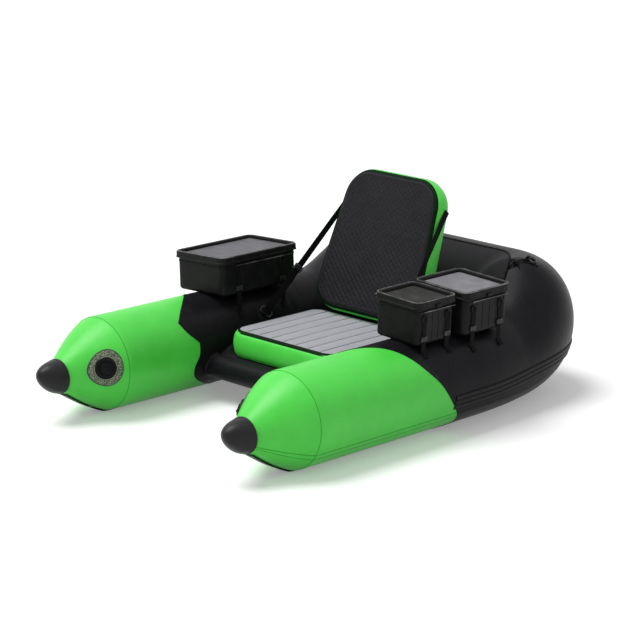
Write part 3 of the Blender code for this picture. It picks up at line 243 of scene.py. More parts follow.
@dataclass(frozen=True)
class CoatedFabric:
    """Coated fabric of the inflated skins: satin, cloudy, with the scrim just showing through."""

    name: str
    colour: Colour
    shade: Colour
    roughness: float = 0.40
    scuff: float = 0.06
    gloss: float = 0.07

    def build(self) -> bpy.types.Material:
        """Make the material.

        Returns:
            The material.
        """
        recipe = Recipe(self.name, self.colour, self.roughness)
        clouds = recipe.mottle(0.11, 4.0)
        specks = recipe.mottle(0.006, 2.0)
        tint = recipe.blend(recipe.span(clouds, 0.0, 1.0, 0.35, 0.68), self.shade, self.colour)
        dust = tuple(channel * 0.86 + 0.012 for channel in self.colour)
        tint = recipe.blend(recipe.span(specks, 0.0, 0.55, 0.55, 0.80), tint, dust)
        rough = recipe.maths("ADD",
            recipe.span(clouds, self.roughness - self.scuff, self.roughness + self.scuff, 0.3, 0.7),
            recipe.span(specks, -0.02, 0.04))
        recipe.set(recipe.shader,
            {"Base Color": tint, "Roughness": rough, "Specular IOR Level": self.gloss})
        pitch = Weave.COATED.value * 2
        knit = recipe.maths("MULTIPLY", recipe.threads(pitch, False), recipe.threads(pitch, True))
        recipe.relief([(recipe.mottle(0.045, 3.0), 0.0011), (recipe.mottle(0.0028, 2.0), 0.00012),
            (knit, 0.00003)])
        return recipe.material


@dataclass(frozen=True)
class WovenCloth:
    """Plain woven cloth or webbing, with its threads both ways."""

    name: str
    colour: Colour
    lift: Colour
    weave: Weave
    depth: float = 0.00022
    roughness: float = 0.78

    def build(self) -> bpy.types.Material:
        """Make the material.

        Returns:
            The material.
        """
        recipe = Recipe(self.name, self.colour, self.roughness)
        pitch = self.weave.value
        warp = recipe.threads(pitch, False)
        weft = recipe.threads(pitch * 1.4, True)
        knit = recipe.maths("MULTIPLY", warp, weft)
        clouds = recipe.mottle(0.05, 3.0)
        tint = recipe.blend(recipe.maths("MULTIPLY", knit, clouds), self.colour, self.lift)
        recipe.set(recipe.shader,
            {"Base Color": tint, "Roughness": recipe.span(clouds, self.roughness - 0.08, self.roughness
            + 0.08), "Specular IOR Level": 0.08, "Sheen Weight": 0.04, "Sheen Roughness": 0.5})
        recipe.relief([(recipe.mottle(0.03, 3.0), 0.0008), (knit, self.depth)])
        return recipe.material


@dataclass(frozen=True)
class Rubber:
    """Matt moulded rubber with rubbed, greyer patches."""

    name: str
    colour: Colour
    worn: Colour
    roughness: float = 0.52
    gloss: float = 0.10

    def build(self) -> bpy.types.Material:
        """Make the material.

        Returns:
            The material.
        """
        recipe = Recipe(self.name, self.colour, self.roughness)
        clouds = recipe.mottle(0.03, 5.0)
        tint = recipe.blend(recipe.span(clouds, 0.0, 1.0, 0.45, 0.75), self.colour, self.worn)
        recipe.surface(tint, clouds, (self.roughness - 0.06, self.roughness + 0.08), self.gloss)
        recipe.relief([(recipe.mottle(0.012, 2.0), 0.0003), (recipe.mottle(0.0011, 2.0), 0.00012)])
        return recipe.material


@dataclass(frozen=True)
class MouldedPlastic:
    """Moulded plastic with a spark-eroded grain and lighter patches: wear on most pieces, painted highlight
    on the lid rim beads and on the ledges under the lids.
    """

    name: str
    colour: Colour
    worn: Colour
    roughness: float = 0.50
    grain: float = 0.00010
    gloss: float = 0.10

    def build(self) -> bpy.types.Material:
        """Make the material.

        Returns:
            The material.
        """
        recipe = Recipe(self.name, self.colour, self.roughness)
        clouds = recipe.mottle(0.04, 4.0)
        grain = recipe.cells(0.0016)
        tint = recipe.blend(recipe.span(clouds, 0.0, 1.0, 0.42, 0.72), self.colour, self.worn)
        recipe.surface(tint, clouds, (self.roughness - 0.07, self.roughness + 0.07), self.gloss)
        recipe.relief([(recipe.mottle(0.02, 2.0), 0.00025), (grain, self.grain)])
        return recipe.material


@dataclass(frozen=True)
class Foam:
    """Closed-cell foam: speckled, with open pores."""

    name: str
    colour: Colour
    speck: Colour
    roughness: float = 0.72
    pore: float = 0.0014

    def build(self) -> bpy.types.Material:
        """Make the material.

        Returns:
            The material.
        """
        recipe = Recipe(self.name, self.colour, self.roughness)
        specks = recipe.mottle(self.pore * 2, 3.0)
        clouds = recipe.mottle(0.07, 3.0)
        tint = recipe.blend(recipe.span(specks, 0.0, 1.0, 0.40, 0.72), self.colour, self.speck)
        dull = tuple(channel * 0.82 for channel in self.colour)
        tint = recipe.blend(recipe.span(clouds, 0.0, 0.6, 0.45, 0.75), tint, dull)
        recipe.surface(tint, specks, (self.roughness - 0.08, self.roughness + 0.08), 0.12)
        recipe.relief([(recipe.cells(self.pore), 0.00025), (recipe.mottle(0.02, 2.0), 0.0004)])
        return recipe.material


@dataclass(frozen=True)
class BrushedMetal:
    """Drawn wire and pins."""

    name: str
    colour: Colour
    roughness: float = 0.34

    def build(self) -> bpy.types.Material:
        """Make the material.

        Returns:
            The material.
        """
        recipe = Recipe(self.name, self.colour, self.roughness, 1.0)
        streaks = recipe.mottle(0.002, 3.0, (1, 1, 12))
        tarnish = tuple(channel * 0.6 for channel in self.colour)
        recipe.set(recipe.shader,
            {"Base Color": recipe.blend(recipe.span(streaks, 0, 1, 0.5, 0.8), self.colour, tarnish),
            "Roughness": recipe.span(streaks, self.roughness - 0.08, self.roughness + 0.12)})
        recipe.relief([(streaks, 0.00004)])
        return recipe.material


@dataclass(frozen=True)
class PatchPrint:
    """Valve patch: dark green fabric with a plain ring of short printed marks, and inside them a thin pale
    ring that is a painted highlight of the flange's edge.
    """

    name: str
    colour: Colour
    ink: Colour
    inner: float
    outer: float
    mark: float

    def band(self, recipe: Recipe, radius: Socket, low: float, high: float) -> Socket:
        """1 between two radii and 0 elsewhere.

        Args:
            recipe: the material's recipe.
            radius: distance from the valve's axis.
            low: inner radius.
            high: outer radius.

        Returns:
            The band's socket.
        """
        inside = recipe.maths("GREATER_THAN", radius, low)
        return recipe.maths("MULTIPLY", inside, recipe.maths("LESS_THAN", radius, high))

    def build(self) -> bpy.types.Material:
        """Make the material.

        Returns:
            The material.
        """
        recipe = Recipe(self.name, self.colour, 0.5)
        split = recipe.add("ShaderNodeSeparateXYZ")
        recipe.set(split, {"Vector": recipe.flat})
        turn, radius = split.outputs["X"], split.outputs["Y"]
        thin = 0.0011
        # Thin pale ring just outside the flange: painted highlight of the flange's edge, in the ink colour.
        rings = self.band(recipe, radius, self.inner - 3.4 * thin, self.inner - 1.9 * thin)
        ripple = recipe.maths("SINE", recipe.maths("MULTIPLY", turn, FULL_TURN / self.mark), 0.0)
        marks = recipe.maths("MULTIPLY", recipe.maths("GREATER_THAN", ripple, -0.25),
            self.band(recipe, radius, self.inner, self.outer))
        rub = recipe.maths("MAXIMUM", rings, recipe.span(recipe.mottle(0.005, 2.0), 0.15, 1.0, 0.44, 0.56))
        ink = recipe.maths("MULTIPLY", recipe.maths("MAXIMUM", rings, marks), rub)
        recipe.set(recipe.shader, {"Base Color": recipe.blend(ink, self.colour, self.ink)})
        recipe.relief([(recipe.mottle(0.002, 2.0), 0.0001)])
        return recipe.material


class Finishes:
    """Every finish of the object, made once, and the record's slot that it belongs to."""

    slots = {"green_skin": "green_fabric green_seam dark_green_weld", "dark_cloth": "apron_cloth",
        "black_skin": "black_fabric weld_fabric valve_print", "webbing": "webbing_cloth",
        "black_rubber": "moulded_rubber cap_rubber belt_rubber", "grey_foam": "grey_foam",
        "black_plastic": "valve_plastic lock_plastic", "dark_foam": "black_foam",
        "box_plastic": "box_plastic rim_plastic pale_panel_plastic panel_plastic dark_panel_plastic",
        "pin_steel": "steel_wire black_wire"}

    def __init__(self) -> None:
        """Build the materials."""
        kinds = [
            CoatedFabric("green_fabric", (0.104, 0.810, 0.090), (0.084, 0.740, 0.072), 0.40, 0.05, 0.36),
            CoatedFabric("black_fabric", (0.0125, 0.0116, 0.0142), (0.0088, 0.0080, 0.0100), 0.36, 0.05),
            # Near-black fabric of the welded patches and sleeves, also of the strips of painted shade in the
            # seat grooves.
            CoatedFabric("weld_fabric", (0.0048, 0.0046, 0.0056), (0.0034, 0.0032, 0.0042), 0.40, 0.05, 0.18),
            CoatedFabric("green_seam", (0.034, 0.430, 0.034), (0.026, 0.360, 0.026), 0.45, 0.05, 0.20),
            # Very dark green of the bands round the pads: painted shade of the cushions' bulge under the
            # pads' edges, on the seat partly the edging's own colour.
            CoatedFabric("dark_green_weld", (0.0012, 0.020, 0.003), (0.001, 0.013, 0.002), 0.55, 0.05, 0.06),
            WovenCloth("apron_cloth", (0.0078, 0.0074, 0.0092), (0.020, 0.019, 0.023), Weave.CLOTH, 0.00016,
                       0.60),
            WovenCloth("webbing_cloth", (0.0030, 0.0030, 0.0035), (0.0100, 0.0100, 0.0115), Weave.WEBBING),
            Rubber("moulded_rubber", (0.0170, 0.0162, 0.0182), (0.026, 0.025, 0.028), 0.44),
            Rubber("cap_rubber", (0.0110, 0.0105, 0.0116), (0.018, 0.017, 0.019), 0.38, 0.22),
            # Near-black band of the belt: painted shade in the gaps between its ribs.
            Rubber("belt_rubber", (0.0014, 0.0014, 0.0016), (0.0024, 0.0024, 0.0027), 0.62),
            MouldedPlastic("valve_plastic", (0.0055, 0.0055, 0.0062), (0.012, 0.012, 0.014), 0.36),
            MouldedPlastic("box_plastic", (0.0080, 0.0081, 0.0080), (0.0150, 0.0151, 0.0150), 0.44, 0.00012),
            # Pale patchy plastic of the lid rim beads and of the ledges under the lids: painted highlight.
            MouldedPlastic("rim_plastic", (0.045, 0.045, 0.046), (0.300, 0.298, 0.304), 0.34, 0.00008, 0.3),
            MouldedPlastic("lock_plastic", (0.030, 0.030, 0.033), (0.090, 0.090, 0.095), 0.36, 0.00008, 0.3),
            # Lid panels: the aft and starboard ones are paler as a painted sheen of the light; the fore one
            # keeps its own dark tone.
            MouldedPlastic("pale_panel_plastic", (0.185, 0.180, 0.196), (0.250, 0.243, 0.262), 0.52, 0.00024),
            MouldedPlastic("panel_plastic", (0.125, 0.121, 0.133), (0.175, 0.170, 0.186), 0.52, 0.00024),
            # Dark tone of the fore lid's panel, also used for the flat patches that stand for the lid notches
            # as painted shade.
            MouldedPlastic("dark_panel_plastic", (0.022, 0.023, 0.020), (0.050, 0.051, 0.046), 0.50, 0.00024),
            Foam("grey_foam", (0.445, 0.450, 0.480), (0.345, 0.350, 0.378), 0.70),
            Foam("black_foam", (0.0135, 0.0127, 0.0155), (0.031, 0.030, 0.036), 0.60),
            BrushedMetal("steel_wire", (0.50, 0.50, 0.51)),
            BrushedMetal("black_wire", (0.065, 0.065, 0.070), 0.40),
            PatchPrint("valve_print", (0.006, 0.024, 0.005), (0.470, 0.500, 0.360), 0.0405, 0.0575, 0.0042),
        ]
        self.made = {kind.name: kind.build() for kind in kinds}
        self.slot_of = {name: slot for slot, names in self.slots.items() for name in names.split()}

    def __getitem__(self, name: str) -> bpy.types.Material:
        """The material of that name."""
        return self.made[name]


# Shared shapes


def linked(name: str, data: bpy.types.ID) -> Piece:
    """New object in the scene.

    Args:
        name: its name.
        data: its mesh, light or camera.

    Returns:
        The object.
    """
    item = bpy.data.objects.new(name, data)
    bpy.context.scene.collection.objects.link(item)
    return item


def smoothstep(share: float) -> float:
    """Ease a share from 0 to 1 with level ends."""
    share = min(max(share, 0.0), 1.0)
    return share * share * (3 - 2 * share)


def lumps(point: Vector, size: float) -> float:
    """Smooth noise from 0 to 1 with lumps of a size in metres."""
    return 0.5 + 0.5 * noise.noise(point / size)


def frame_at(origin: Vector, x_axis: Vector, z_axis: Vector) -> Matrix:
    """Frame from an origin, an outward Z axis and a direction for X.

    Args:
        origin: the frame's origin.
        x_axis: rough direction of X.
        z_axis: direction of Z.

    Returns:
        The frame as a matrix.
    """
    z_axis = z_axis.normalized()
    y_axis = z_axis.cross(x_axis).normalized()
    made = Matrix((y_axis.cross(z_axis), y_axis, z_axis)).transposed().to_4x4()
    made.translation = origin
    return made


@dataclass
class PieceMaker:
    """Turns rows of points and cages into finished pieces that ride on the frame."""

    finishes: Finishes
    sharp: float = radians(40.0)

    def finish_piece(self, item: Piece, finish: str, body: str = HULL_BODY, nodes: Sequence[str] = (),
            slot: str = "", ride: bool = True) -> Piece:
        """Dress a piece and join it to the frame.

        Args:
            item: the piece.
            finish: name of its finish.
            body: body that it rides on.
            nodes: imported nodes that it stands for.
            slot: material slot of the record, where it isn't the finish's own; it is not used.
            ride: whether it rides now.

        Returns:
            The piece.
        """
        item.data.materials.clear()
        item.data.materials.append(self.finishes[finish])
        if ride:
            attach(item, body)
        if nodes:
            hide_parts(*nodes)
        slot or self.finishes.slot_of[finish]
        LOG.info("piece %s: %s on %s", item.name, finish, body)
        return item

    def from_mesh(self, name: str, mesh: bpy.types.Mesh, finish: str, **joins: object) -> Piece:
        """Piece from a mesh whose points lie where they belong.

        Args:
            name: name of the piece.
            mesh: its mesh.
            finish: name of its finish.
            joins: body, nodes, slot and ride, as for finish_piece.

        Returns:
            The piece.
        """
        mesh.shade_smooth()
        mesh.set_sharp_from_angle(angle=self.sharp)
        return self.finish_piece(linked(name, mesh), finish, **joins)

    def from_rows(self, name: str, rows: Rows, finish: str, closed: bool = True,
            caps: tuple[bool, bool] = (False, False), wrap: bool = False, side: Side = Side.PORT,
            thickness: float = 0.0, **joins: object) -> Piece:
        """Piece lofted through rows of points, with a map in metres for its weave.

        Args:
            name: name of the piece.
            rows: rows of equal point counts.
            finish: name of its finish.
            closed: whether each row closes on itself.
            caps: whether the first and the last row are filled.
            wrap: whether the last row lies on the first.
            side: side that the port points are moved to.
            thickness: wall that is added outward, or inward if negative.
            joins: body, nodes, slot and ride, as for finish_piece.

        Returns:
            The piece.
        """
        points = np.array([[tuple(point) for point in row] for row in rows], float)
        points[:, :, 0] *= side.value
        count, width = points.shape[:2]
        ring = points if not closed else np.concatenate([points, points[:, :1]], axis=1)
        across = np.linalg.norm(np.diff(ring, axis=1), axis=2)
        along = np.linalg.norm(np.diff(points, axis=0), axis=2).mean(axis=1)
        u = np.concatenate([np.zeros((count, 1)), np.cumsum(across, axis=1)], axis=1)
        v = np.concatenate([[0.0], np.cumsum(along)])
        faces, corners = [], []
        for row in range(count - 1):
            for step in range(width if closed else width - 1):
                after = (step + 1) % width
                quad = [(row, step, step), (row + 1, step, step), (row + 1, after, step + 1),
                    (row, after, step + 1)]
                if side is Side.STARBOARD:
                    quad.reverse()
                faces.append([near * width + place for near, place, _ in quad])
                corners += [(u[near][column], v[near]) for near, _, column in quad]
        for row, filled in zip((0, count - 1), caps):
            if filled:
                faces.append([row * width + step for step in range(width)])
                corners += [(u[row][step], v[row]) for step in range(width)]
        mesh = bpy.data.meshes.new(name)
        mesh.from_pydata(points.reshape(-1, 3).tolist(), [], faces)
        layer = mesh.uv_layers.new(name=METRES)
        layer.data.foreach_set("uv", np.array(corners, np.float32).ravel())
        if wrap or any(caps):
            cage = bmesh.new()
            cage.from_mesh(mesh)
            if wrap:
                bmesh.ops.remove_doubles(cage, verts=cage.verts, dist=1e-6)
            bmesh.ops.recalc_face_normals(cage, faces=cage.faces)
            cage.to_mesh(mesh)
            cage.free()
        item = self.from_mesh(name, mesh, finish, **joins)
        if thickness:
            wall = item.modifiers.new("wall", "SOLIDIFY")
            wall.thickness = abs(thickness)
            wall.offset = 1 if thickness > 0 else -1
        return item

    def from_cage(self, name: str, cage: Cage, finish: str, matrix: Matrix | None = None,
            bevel: float = 0.0, **joins: object) -> Piece:
        """Piece from a cage given in a frame of its own.

        Args:
            name: name of the piece.
            cage: its cage, which is freed.
            finish: name of its finish.
            matrix: the cage's frame.
            bevel: width of its rounded edges.
            joins: body, nodes, slot and ride, as for finish_piece.

        Returns:
            The piece.
        """
        if matrix is not None:
            bmesh.ops.transform(cage, matrix=matrix, verts=cage.verts)
        mesh = bpy.data.meshes.new(name)
        cage.to_mesh(mesh)
        cage.free()
        item = self.from_mesh(name, mesh, finish, **joins)
        if bevel:
            edge = item.modifiers.new("edges", "BEVEL")
            edge.width = bevel
            edge.segments = 2
            edge.limit_method = "ANGLE"
            edge.angle_limit = radians(35.0)
        return item

    def dress_node(self, node: str, finish: str) -> None:
        """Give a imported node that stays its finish.

        Args:
            node: name of the node.
            finish: name of its finish.
        """
        item = frame["nodes"][node]
        item.data.materials.clear()
        item.data.materials.append(self.finishes[finish])
        item.data.shade_smooth()
        item.data.set_sharp_from_angle(angle=self.sharp)
        LOG.info("packed node %s: %s", node, finish)


def block(size: Sequence[float], centre: Sequence[float] = (0, 0, 0)) -> Cage:
    """Box of a size about a centre.

    Args:
        size: its size.
        centre: its middle.

    Returns:
        The box's cage.
    """
    cage = bmesh.new()
    bmesh.ops.create_cube(cage, size=1, matrix=Matrix.Translation(centre) @ Matrix.Diagonal((*size, 1)))
    return cage


def bar(radius: float, start: Vector, end: Vector, steps: int = 24) -> Cage:
    """Round bar between two points.

    Args:
        radius: its radius.
        start: middle of one end.
        end: middle of the other.
        steps: sides round it.

    Returns:
        The bar's cage.
    """
    turn = (end - start).to_track_quat("Z", "Y").to_matrix().to_4x4()
    cage = bmesh.new()
    bmesh.ops.create_cone(cage, cap_ends=True, segments=steps, radius1=radius, radius2=radius,
        depth=(end - start).length, matrix=Matrix.Translation((start + end) / 2) @ turn)
    return cage


def joined(cages: Sequence[Cage]) -> Cage:
    """Several cages as one.

    Args:
        cages: the cages, which are freed.

    Returns:
        The joined cage.
    """
    whole = bmesh.new()
    for cage in cages:
        mesh = bpy.data.meshes.new("part_of_cage")
        cage.to_mesh(mesh)
        cage.free()
        whole.from_mesh(mesh)
        bpy.data.meshes.remove(mesh)
    return whole


def swept(points: Sequence[Vector], radius: float, steps: int = 10, cyclic: bool = False) -> Rows:
    """Rows round a line of points, for a cord or a bead.

    Args:
        points: the line.
        radius: half of its thickness.
        steps: sides round it.
        cyclic: whether the line closes on itself.

    Returns:
        The rows.
    """
    count = len(points)
    rows = []
    side = None
    for place, point in enumerate(points):
        near = points[(place - 1) % count] if cyclic else points[max(place - 1, 0)]
        far = points[(place + 1) % count] if cyclic else points[min(place + 1, count - 1)]
        tangent = (far - near).normalized()
        if side is None:
            side = tangent.orthogonal()
        side = (side - tangent * side.dot(tangent)).normalized()
        up = tangent.cross(side)
        rows.append([point + (side * cos(turn) + up * sin(turn)) * radius for turn in round_turns(steps)])
    if cyclic:
        rows.append([point.copy() for point in rows[0]])
    return rows


def profile_rows(outline: Outline, profile: Outline) -> Rows:
    """Rows of a trim that follows a flat outline.

    Args:
        outline: the outline, anticlockwise.
        profile: the trim's section as distance outside the outline and height.

    Returns:
        The rows, of which the last lies on the first.
    """
    count = len(outline)
    rows = []
    for place in range(count + 1):
        x, y = outline[place % count]
        before = outline[(place - 1) % count]
        after = outline[(place + 1) % count]
        run = Vector((after[0] - before[0], after[1] - before[1])).normalized()
        rows.append([Vector((x + run.y * out, y - run.x * out, height)) for out, height in profile])
    return rows


def placed(rows: Rows, matrix: Matrix) -> Rows:
    """Rows of a frame, in the world."""
    return [[matrix @ point for point in row] for row in rows]


def lathe(profile: Outline, steps: int = 64) -> Rows:
    """Rows turned from a profile of radius and height."""
    return [[Vector((radius * cos(turn), radius * sin(turn), height)) for turn in round_turns(steps)]
        for radius, height in profile]


def ribbon_rows(points: Sequence[Vector], widths: Sequence[Vector], thickness: float) -> Rows:
    """Rows of webbing through points, with rounded selvedges.

    Args:
        points: the webbing's middle line.
        widths: across vector at each point, as long as the webbing is wide.
        thickness: the webbing's thickness.

    Returns:
        The rows.
    """
    rows = []
    for place, (point, width) in enumerate(zip(points, widths)):
        near = points[max(place - 1, 0)]
        far = points[min(place + 1, len(points) - 1)]
        tangent = (far - near).normalized()
        across = (width - tangent * width.dot(tangent)).normalized()
        out = tangent.cross(across).normalized()
        outline = rounded_outline(width.length / 2, thickness / 2, thickness * 0.45, 3, width.length / 6)
        rows.append([point + across * u + out * v for u, v in outline])
    return rows


def rows_area(rows: Rows) -> float:
    """Area of an open grid of points.

    Args:
        rows: the grid.

    Returns:
        The area.
    """
    total = 0.0
    for near, far in zip(rows, rows[1:]):
        for step in range(len(near) - 1):
            first = (far[step] - near[step]).cross(near[step + 1] - near[step]).length
            second = (far[step + 1] - far[step]).cross(far[step + 1] - near[step + 1]).length
            total += (first + second) / 2
    return total


def round_turns(steps: int, extra: int = 0) -> list[float]:
    """Angles at equal steps round a circle, and some beyond the full turn."""
    return [FULL_TURN * step / steps for step in range(steps + extra)]


def spline(before: Amount, start: Amount, end: Amount, after: Amount, t: float) -> Amount:
    """Value or point at a share of the smooth span from start to end."""
    return 0.5 * (2 * start + (end - before) * t + (2 * before - 5 * start + 4 * end - after) * t * t
        + (3 * start - before - 3 * end + after) * t ** 3)


def ripple(*place: float) -> float:
    """Smooth noise from 0 to 1 at a place that is given in lumps."""
    return 0.5 + 0.5 * noise.noise(Vector(place))


def spaced(start: float, end: float, count: int) -> list[float]:
    """Numbers at equal steps from start to end."""
    return [start + (end - start) * step / (count - 1) for step in range(count)]


def ridge(distance: float, width: float) -> float:
    """Soft ridge of height 1, by the distance from its crest."""
    return exp(-(distance / width) ** 2)


def smooth_line(points: Sequence[Vector], per_span: int = 6, cyclic: bool = False) -> list[Vector]:
    """Smooth line through points.

    Args:
        points: points that it passes.
        per_span: new points for each span.
        cyclic: whether the line closes on itself.

    Returns:
        The denser line.
    """
    count = len(points)
    line = []
    for place in range(count if cyclic else count - 1):
        picks = [place - 1, place, place + 1, place + 2]
        if cyclic:
            before, start, end, after = (points[pick % count] for pick in picks)
        else:
            before, start, end, after = (points[min(max(pick, 0), count - 1)] for pick in picks)
        for step in range(per_span):
            line.append(spline(before, start, end, after, step / per_span))
    if not cyclic:
        line.append(points[-1].copy())
    return line


def rounded_outline(half_x: float, half_y: float, corner: float, steps: int = 12, spare: float = 0.03,
        counts: tuple[int, int] | None = None) -> Outline:
    """Rounded rectangle, anticlockwise from the right, with points along its straight sides.

    Args:
        half_x: half of its width.
        half_y: half of its length.
        corner: radius of its corners.
        steps: points on each corner.
        spare: distance between the points of a straight side.
        counts: spans of the X sides and of the Y sides, instead of the distance.

    Returns:
        The outline's points.
    """
    outline = []
    for quarter in range(4):
        sign_x = 1 if quarter in (0, 3) else -1
        sign_y = 1 if quarter in (0, 1) else -1
        centre = (sign_x * (half_x - corner), sign_y * (half_y - corner))
        for step in range(steps):
            turn = (quarter + step / (steps - 1)) * pi / 2
            outline.append((centre[0] + corner * cos(turn), centre[1] + corner * sin(turn)))
        side = 2 * ((half_y if quarter % 2 else half_x) - corner)
        fill = counts[quarter % 2] if counts else max(1, round(side / spare))
        last = outline[-1]
        direction = ((-1, 0), (0, -1), (1, 0), (0, 1))[quarter]
        for step in range(1, fill):
            outline.append((last[0] + direction[0] * side * step / fill,
                last[1] + direction[1] * side * step / fill))
    return outline


# Hull


@dataclass(frozen=True)
class Section:
    """Oval section of the hull."""

    centre: Vector
    across: Vector
    half_width: float
    height: float
    half_height: float


@dataclass(frozen=True)
class HullShape:
    """Outer shape of the port half of the hull, by run from the nose and angle from outboard over the top."""

    overall_length: float = 1.700
    axis_x: float = 0.438
    tube_radius: float = 0.158
    height: float = 0.1618
    cone_length: float = 0.175
    cap_length: float = 0.0865
    nose_radius: float = 0.0525
    nose_drop: float = 0.009
    round_share: float = 0.35
    corner_reach: float = 0.518
    corner_inset: float = 0.156
    stern_half_depth: float = 0.187
    stern_half_height: float = 0.230
    well_corner_length: float = 0.176
    well_corner_width: float = 0.080
    growth_shares: tuple[float, float] = (0.38, 0.865)
    samples: int = 200

    @property
    def nose_y(self) -> float:
        """Y of the nose's opening."""
        return self.cap_length - self.overall_length / 2

    @property
    def cone_end(self) -> float:
        """Run at which the cone meets the straight tube."""
        return self.nose_y + self.cone_length

    @property
    def stern_axis_y(self) -> float:
        """Y of the stern tube's axis."""
        return self.overall_length / 2 - self.stern_half_depth

    @property
    def corner_start(self) -> float:
        """Run at which the stern corner starts."""
        return self.stern_axis_y - self.corner_reach

    @property
    def corner_end_x(self) -> float:
        """X of the tube's axis where the stern corner ends."""
        return self.axis_x - self.corner_inset

    @property
    def well_end_x(self) -> float:
        """X at which the well's rounded corner ends."""
        return self.axis_x - self.tube_radius - self.well_corner_width

    @property
    def well_back_y(self) -> float:
        """Y of the well's back wall."""
        return self.stern_axis_y - self.stern_half_depth

    @cached_property
    def tables(self) -> dict[str, np.ndarray]:
        """Turns and running lengths of the corner's axis and of the well's wall.

        Returns:
            The tables by name.
        """
        turns = np.linspace(0, pi / 2, self.samples)
        corner = running_length(self.corner_end_x + self.corner_inset * np.cos(turns), self.corner_start
            + self.corner_reach * np.sin(turns))
        half_width = self.axis_x - self.tube_radius
        corner_y = self.well_back_y - self.well_corner_length
        xs = np.concatenate([[half_width], self.well_end_x + self.well_corner_width * np.cos(turns)])
        ys = np.concatenate([[self.corner_start], corner_y + self.well_corner_length * np.sin(turns)])
        return {"turns": turns, "corner": corner, "xs": xs, "ys": ys, "well": running_length(xs, ys)}

    @property
    def corner_length(self) -> float:
        """Length of the stern corner along the tube's axis."""
        return float(self.tables["corner"][-1])

    @property
    def corner_end(self) -> float:
        """Run at which the stern corner ends."""
        return self.corner_start + self.corner_length

    @property
    def middle(self) -> float:
        """Run at the middle of the stern."""
        return self.corner_end + self.corner_end_x

    def corner_run(self, share: float) -> float:
        """Run at a share of the stern corner."""
        return self.corner_start + share * self.corner_length

    def nose_section(self, run: float) -> Section:
        """Section of the cone.

        Args:
            run: run from the nose.

        Returns:
            The section.
        """
        share = (run - self.nose_y) / self.cone_length
        swell = (1 - self.round_share) * share + self.round_share * sin(share * pi / 2)
        radius = self.nose_radius + (self.tube_radius - self.nose_radius) * swell
        return Section(Vector((self.axis_x, run)), Vector((1, 0)), radius, self.height
            - self.nose_drop * (1 - swell), radius)

    def spanned_section(self, outer: Vector, inner: Vector, growth: float) -> Section:
        """Section between two walls.

        Args:
            outer: point of the outer wall.
            inner: point of the well's wall.
            growth: 0 for the pontoon's height, 1 for the stern's.

        Returns:
            The section.
        """
        half_height = self.tube_radius + (self.stern_half_height - self.tube_radius) * growth
        half = (outer - inner) / 2
        return Section((outer + inner) / 2, half.normalized(), half.length, self.height - self.tube_radius
            + half_height, half_height)

    def corner_section(self, share: float) -> Section:
        """Section in the stern corner at a share of its length.

        Args:
            share: share of the corner's length.

        Returns:
            The section.
        """
        tables = self.tables
        turn = float(np.interp(share * self.corner_length, tables["corner"], tables["turns"]))
        cosine, sine = cos(turn), sin(turn)
        axis = Vector((self.corner_end_x + self.corner_inset * cosine, self.corner_start
            + self.corner_reach * sine))
        outward = Vector((self.corner_reach * cosine, self.corner_inset * sine)).normalized()
        low, high = self.growth_shares
        growth = smoothstep((share - low) / (high - low))
        outer = axis + outward * (self.tube_radius + (self.stern_half_depth - self.tube_radius) * growth)
        length = sin(share * pi / 2) * float(tables["well"][-1])
        inner = Vector((float(np.interp(length, tables["well"], tables["xs"])),
            float(np.interp(length, tables["well"], tables["ys"]))))
        return self.spanned_section(outer, inner, growth)

    def section(self, run: float) -> Section:
        """Section at a run.

        Args:
            run: run from the nose.

        Returns:
            The section.
        """
        if run < self.cone_end:
            return self.nose_section(run)
        if run <= self.corner_start:
            return Section(Vector((self.axis_x, run)), Vector((1, 0)), self.tube_radius, self.height,
                self.tube_radius)
        if run <= self.corner_end:
            return self.corner_section((run - self.corner_start) / self.corner_length)
        share = (self.middle - run) / self.corner_end_x
        outer = Vector((self.corner_end_x * share, self.stern_axis_y + self.stern_half_depth))
        return self.spanned_section(outer, Vector((self.well_end_x * share, self.well_back_y)), 1.0)

    def point(self, run: float, angle: float, offset: float = 0.0) -> Vector:
        """Point of the hull.

        Args:
            run: run from the nose.
            angle: angle round the section.
            offset: distance outside the hull.

        Returns:
            The point, on the port half.
        """
        part = self.section(run)
        flat = part.centre + part.across * (part.half_width + offset) * cos(angle)
        return Vector((flat.x, flat.y, part.height + (part.half_height + offset) * sin(angle)))

    def frame(self, run: float, angle: float) -> Matrix:
        """Surface frame of the port half: X aft along the hull, Z outward.

        Args:
            run: run from the nose.
            angle: angle round the section.

        Returns:
            The frame.
        """
        step = self.tube_radius / self.samples
        along = self.point(run + step, angle) - self.point(run - step, angle)
        round_tube = self.point(run, angle + step) - self.point(run, angle - step)
        return frame_at(self.point(run, angle), along, along.cross(round_tube))

    def wall_point(self, run: float, height: float, clearance: float) -> Vector:
        """Point of the well's wall at a height, moved into the well by a clearance."""
        part = self.section(run)
        return self.point(run, pi - asin((height - part.height) / part.half_height), clearance)


def running_length(xs: np.ndarray, ys: np.ndarray) -> np.ndarray:
    """Running length along a line of points."""
    return np.concatenate([[0.0], np.cumsum(np.hypot(np.diff(xs), np.diff(ys)))])


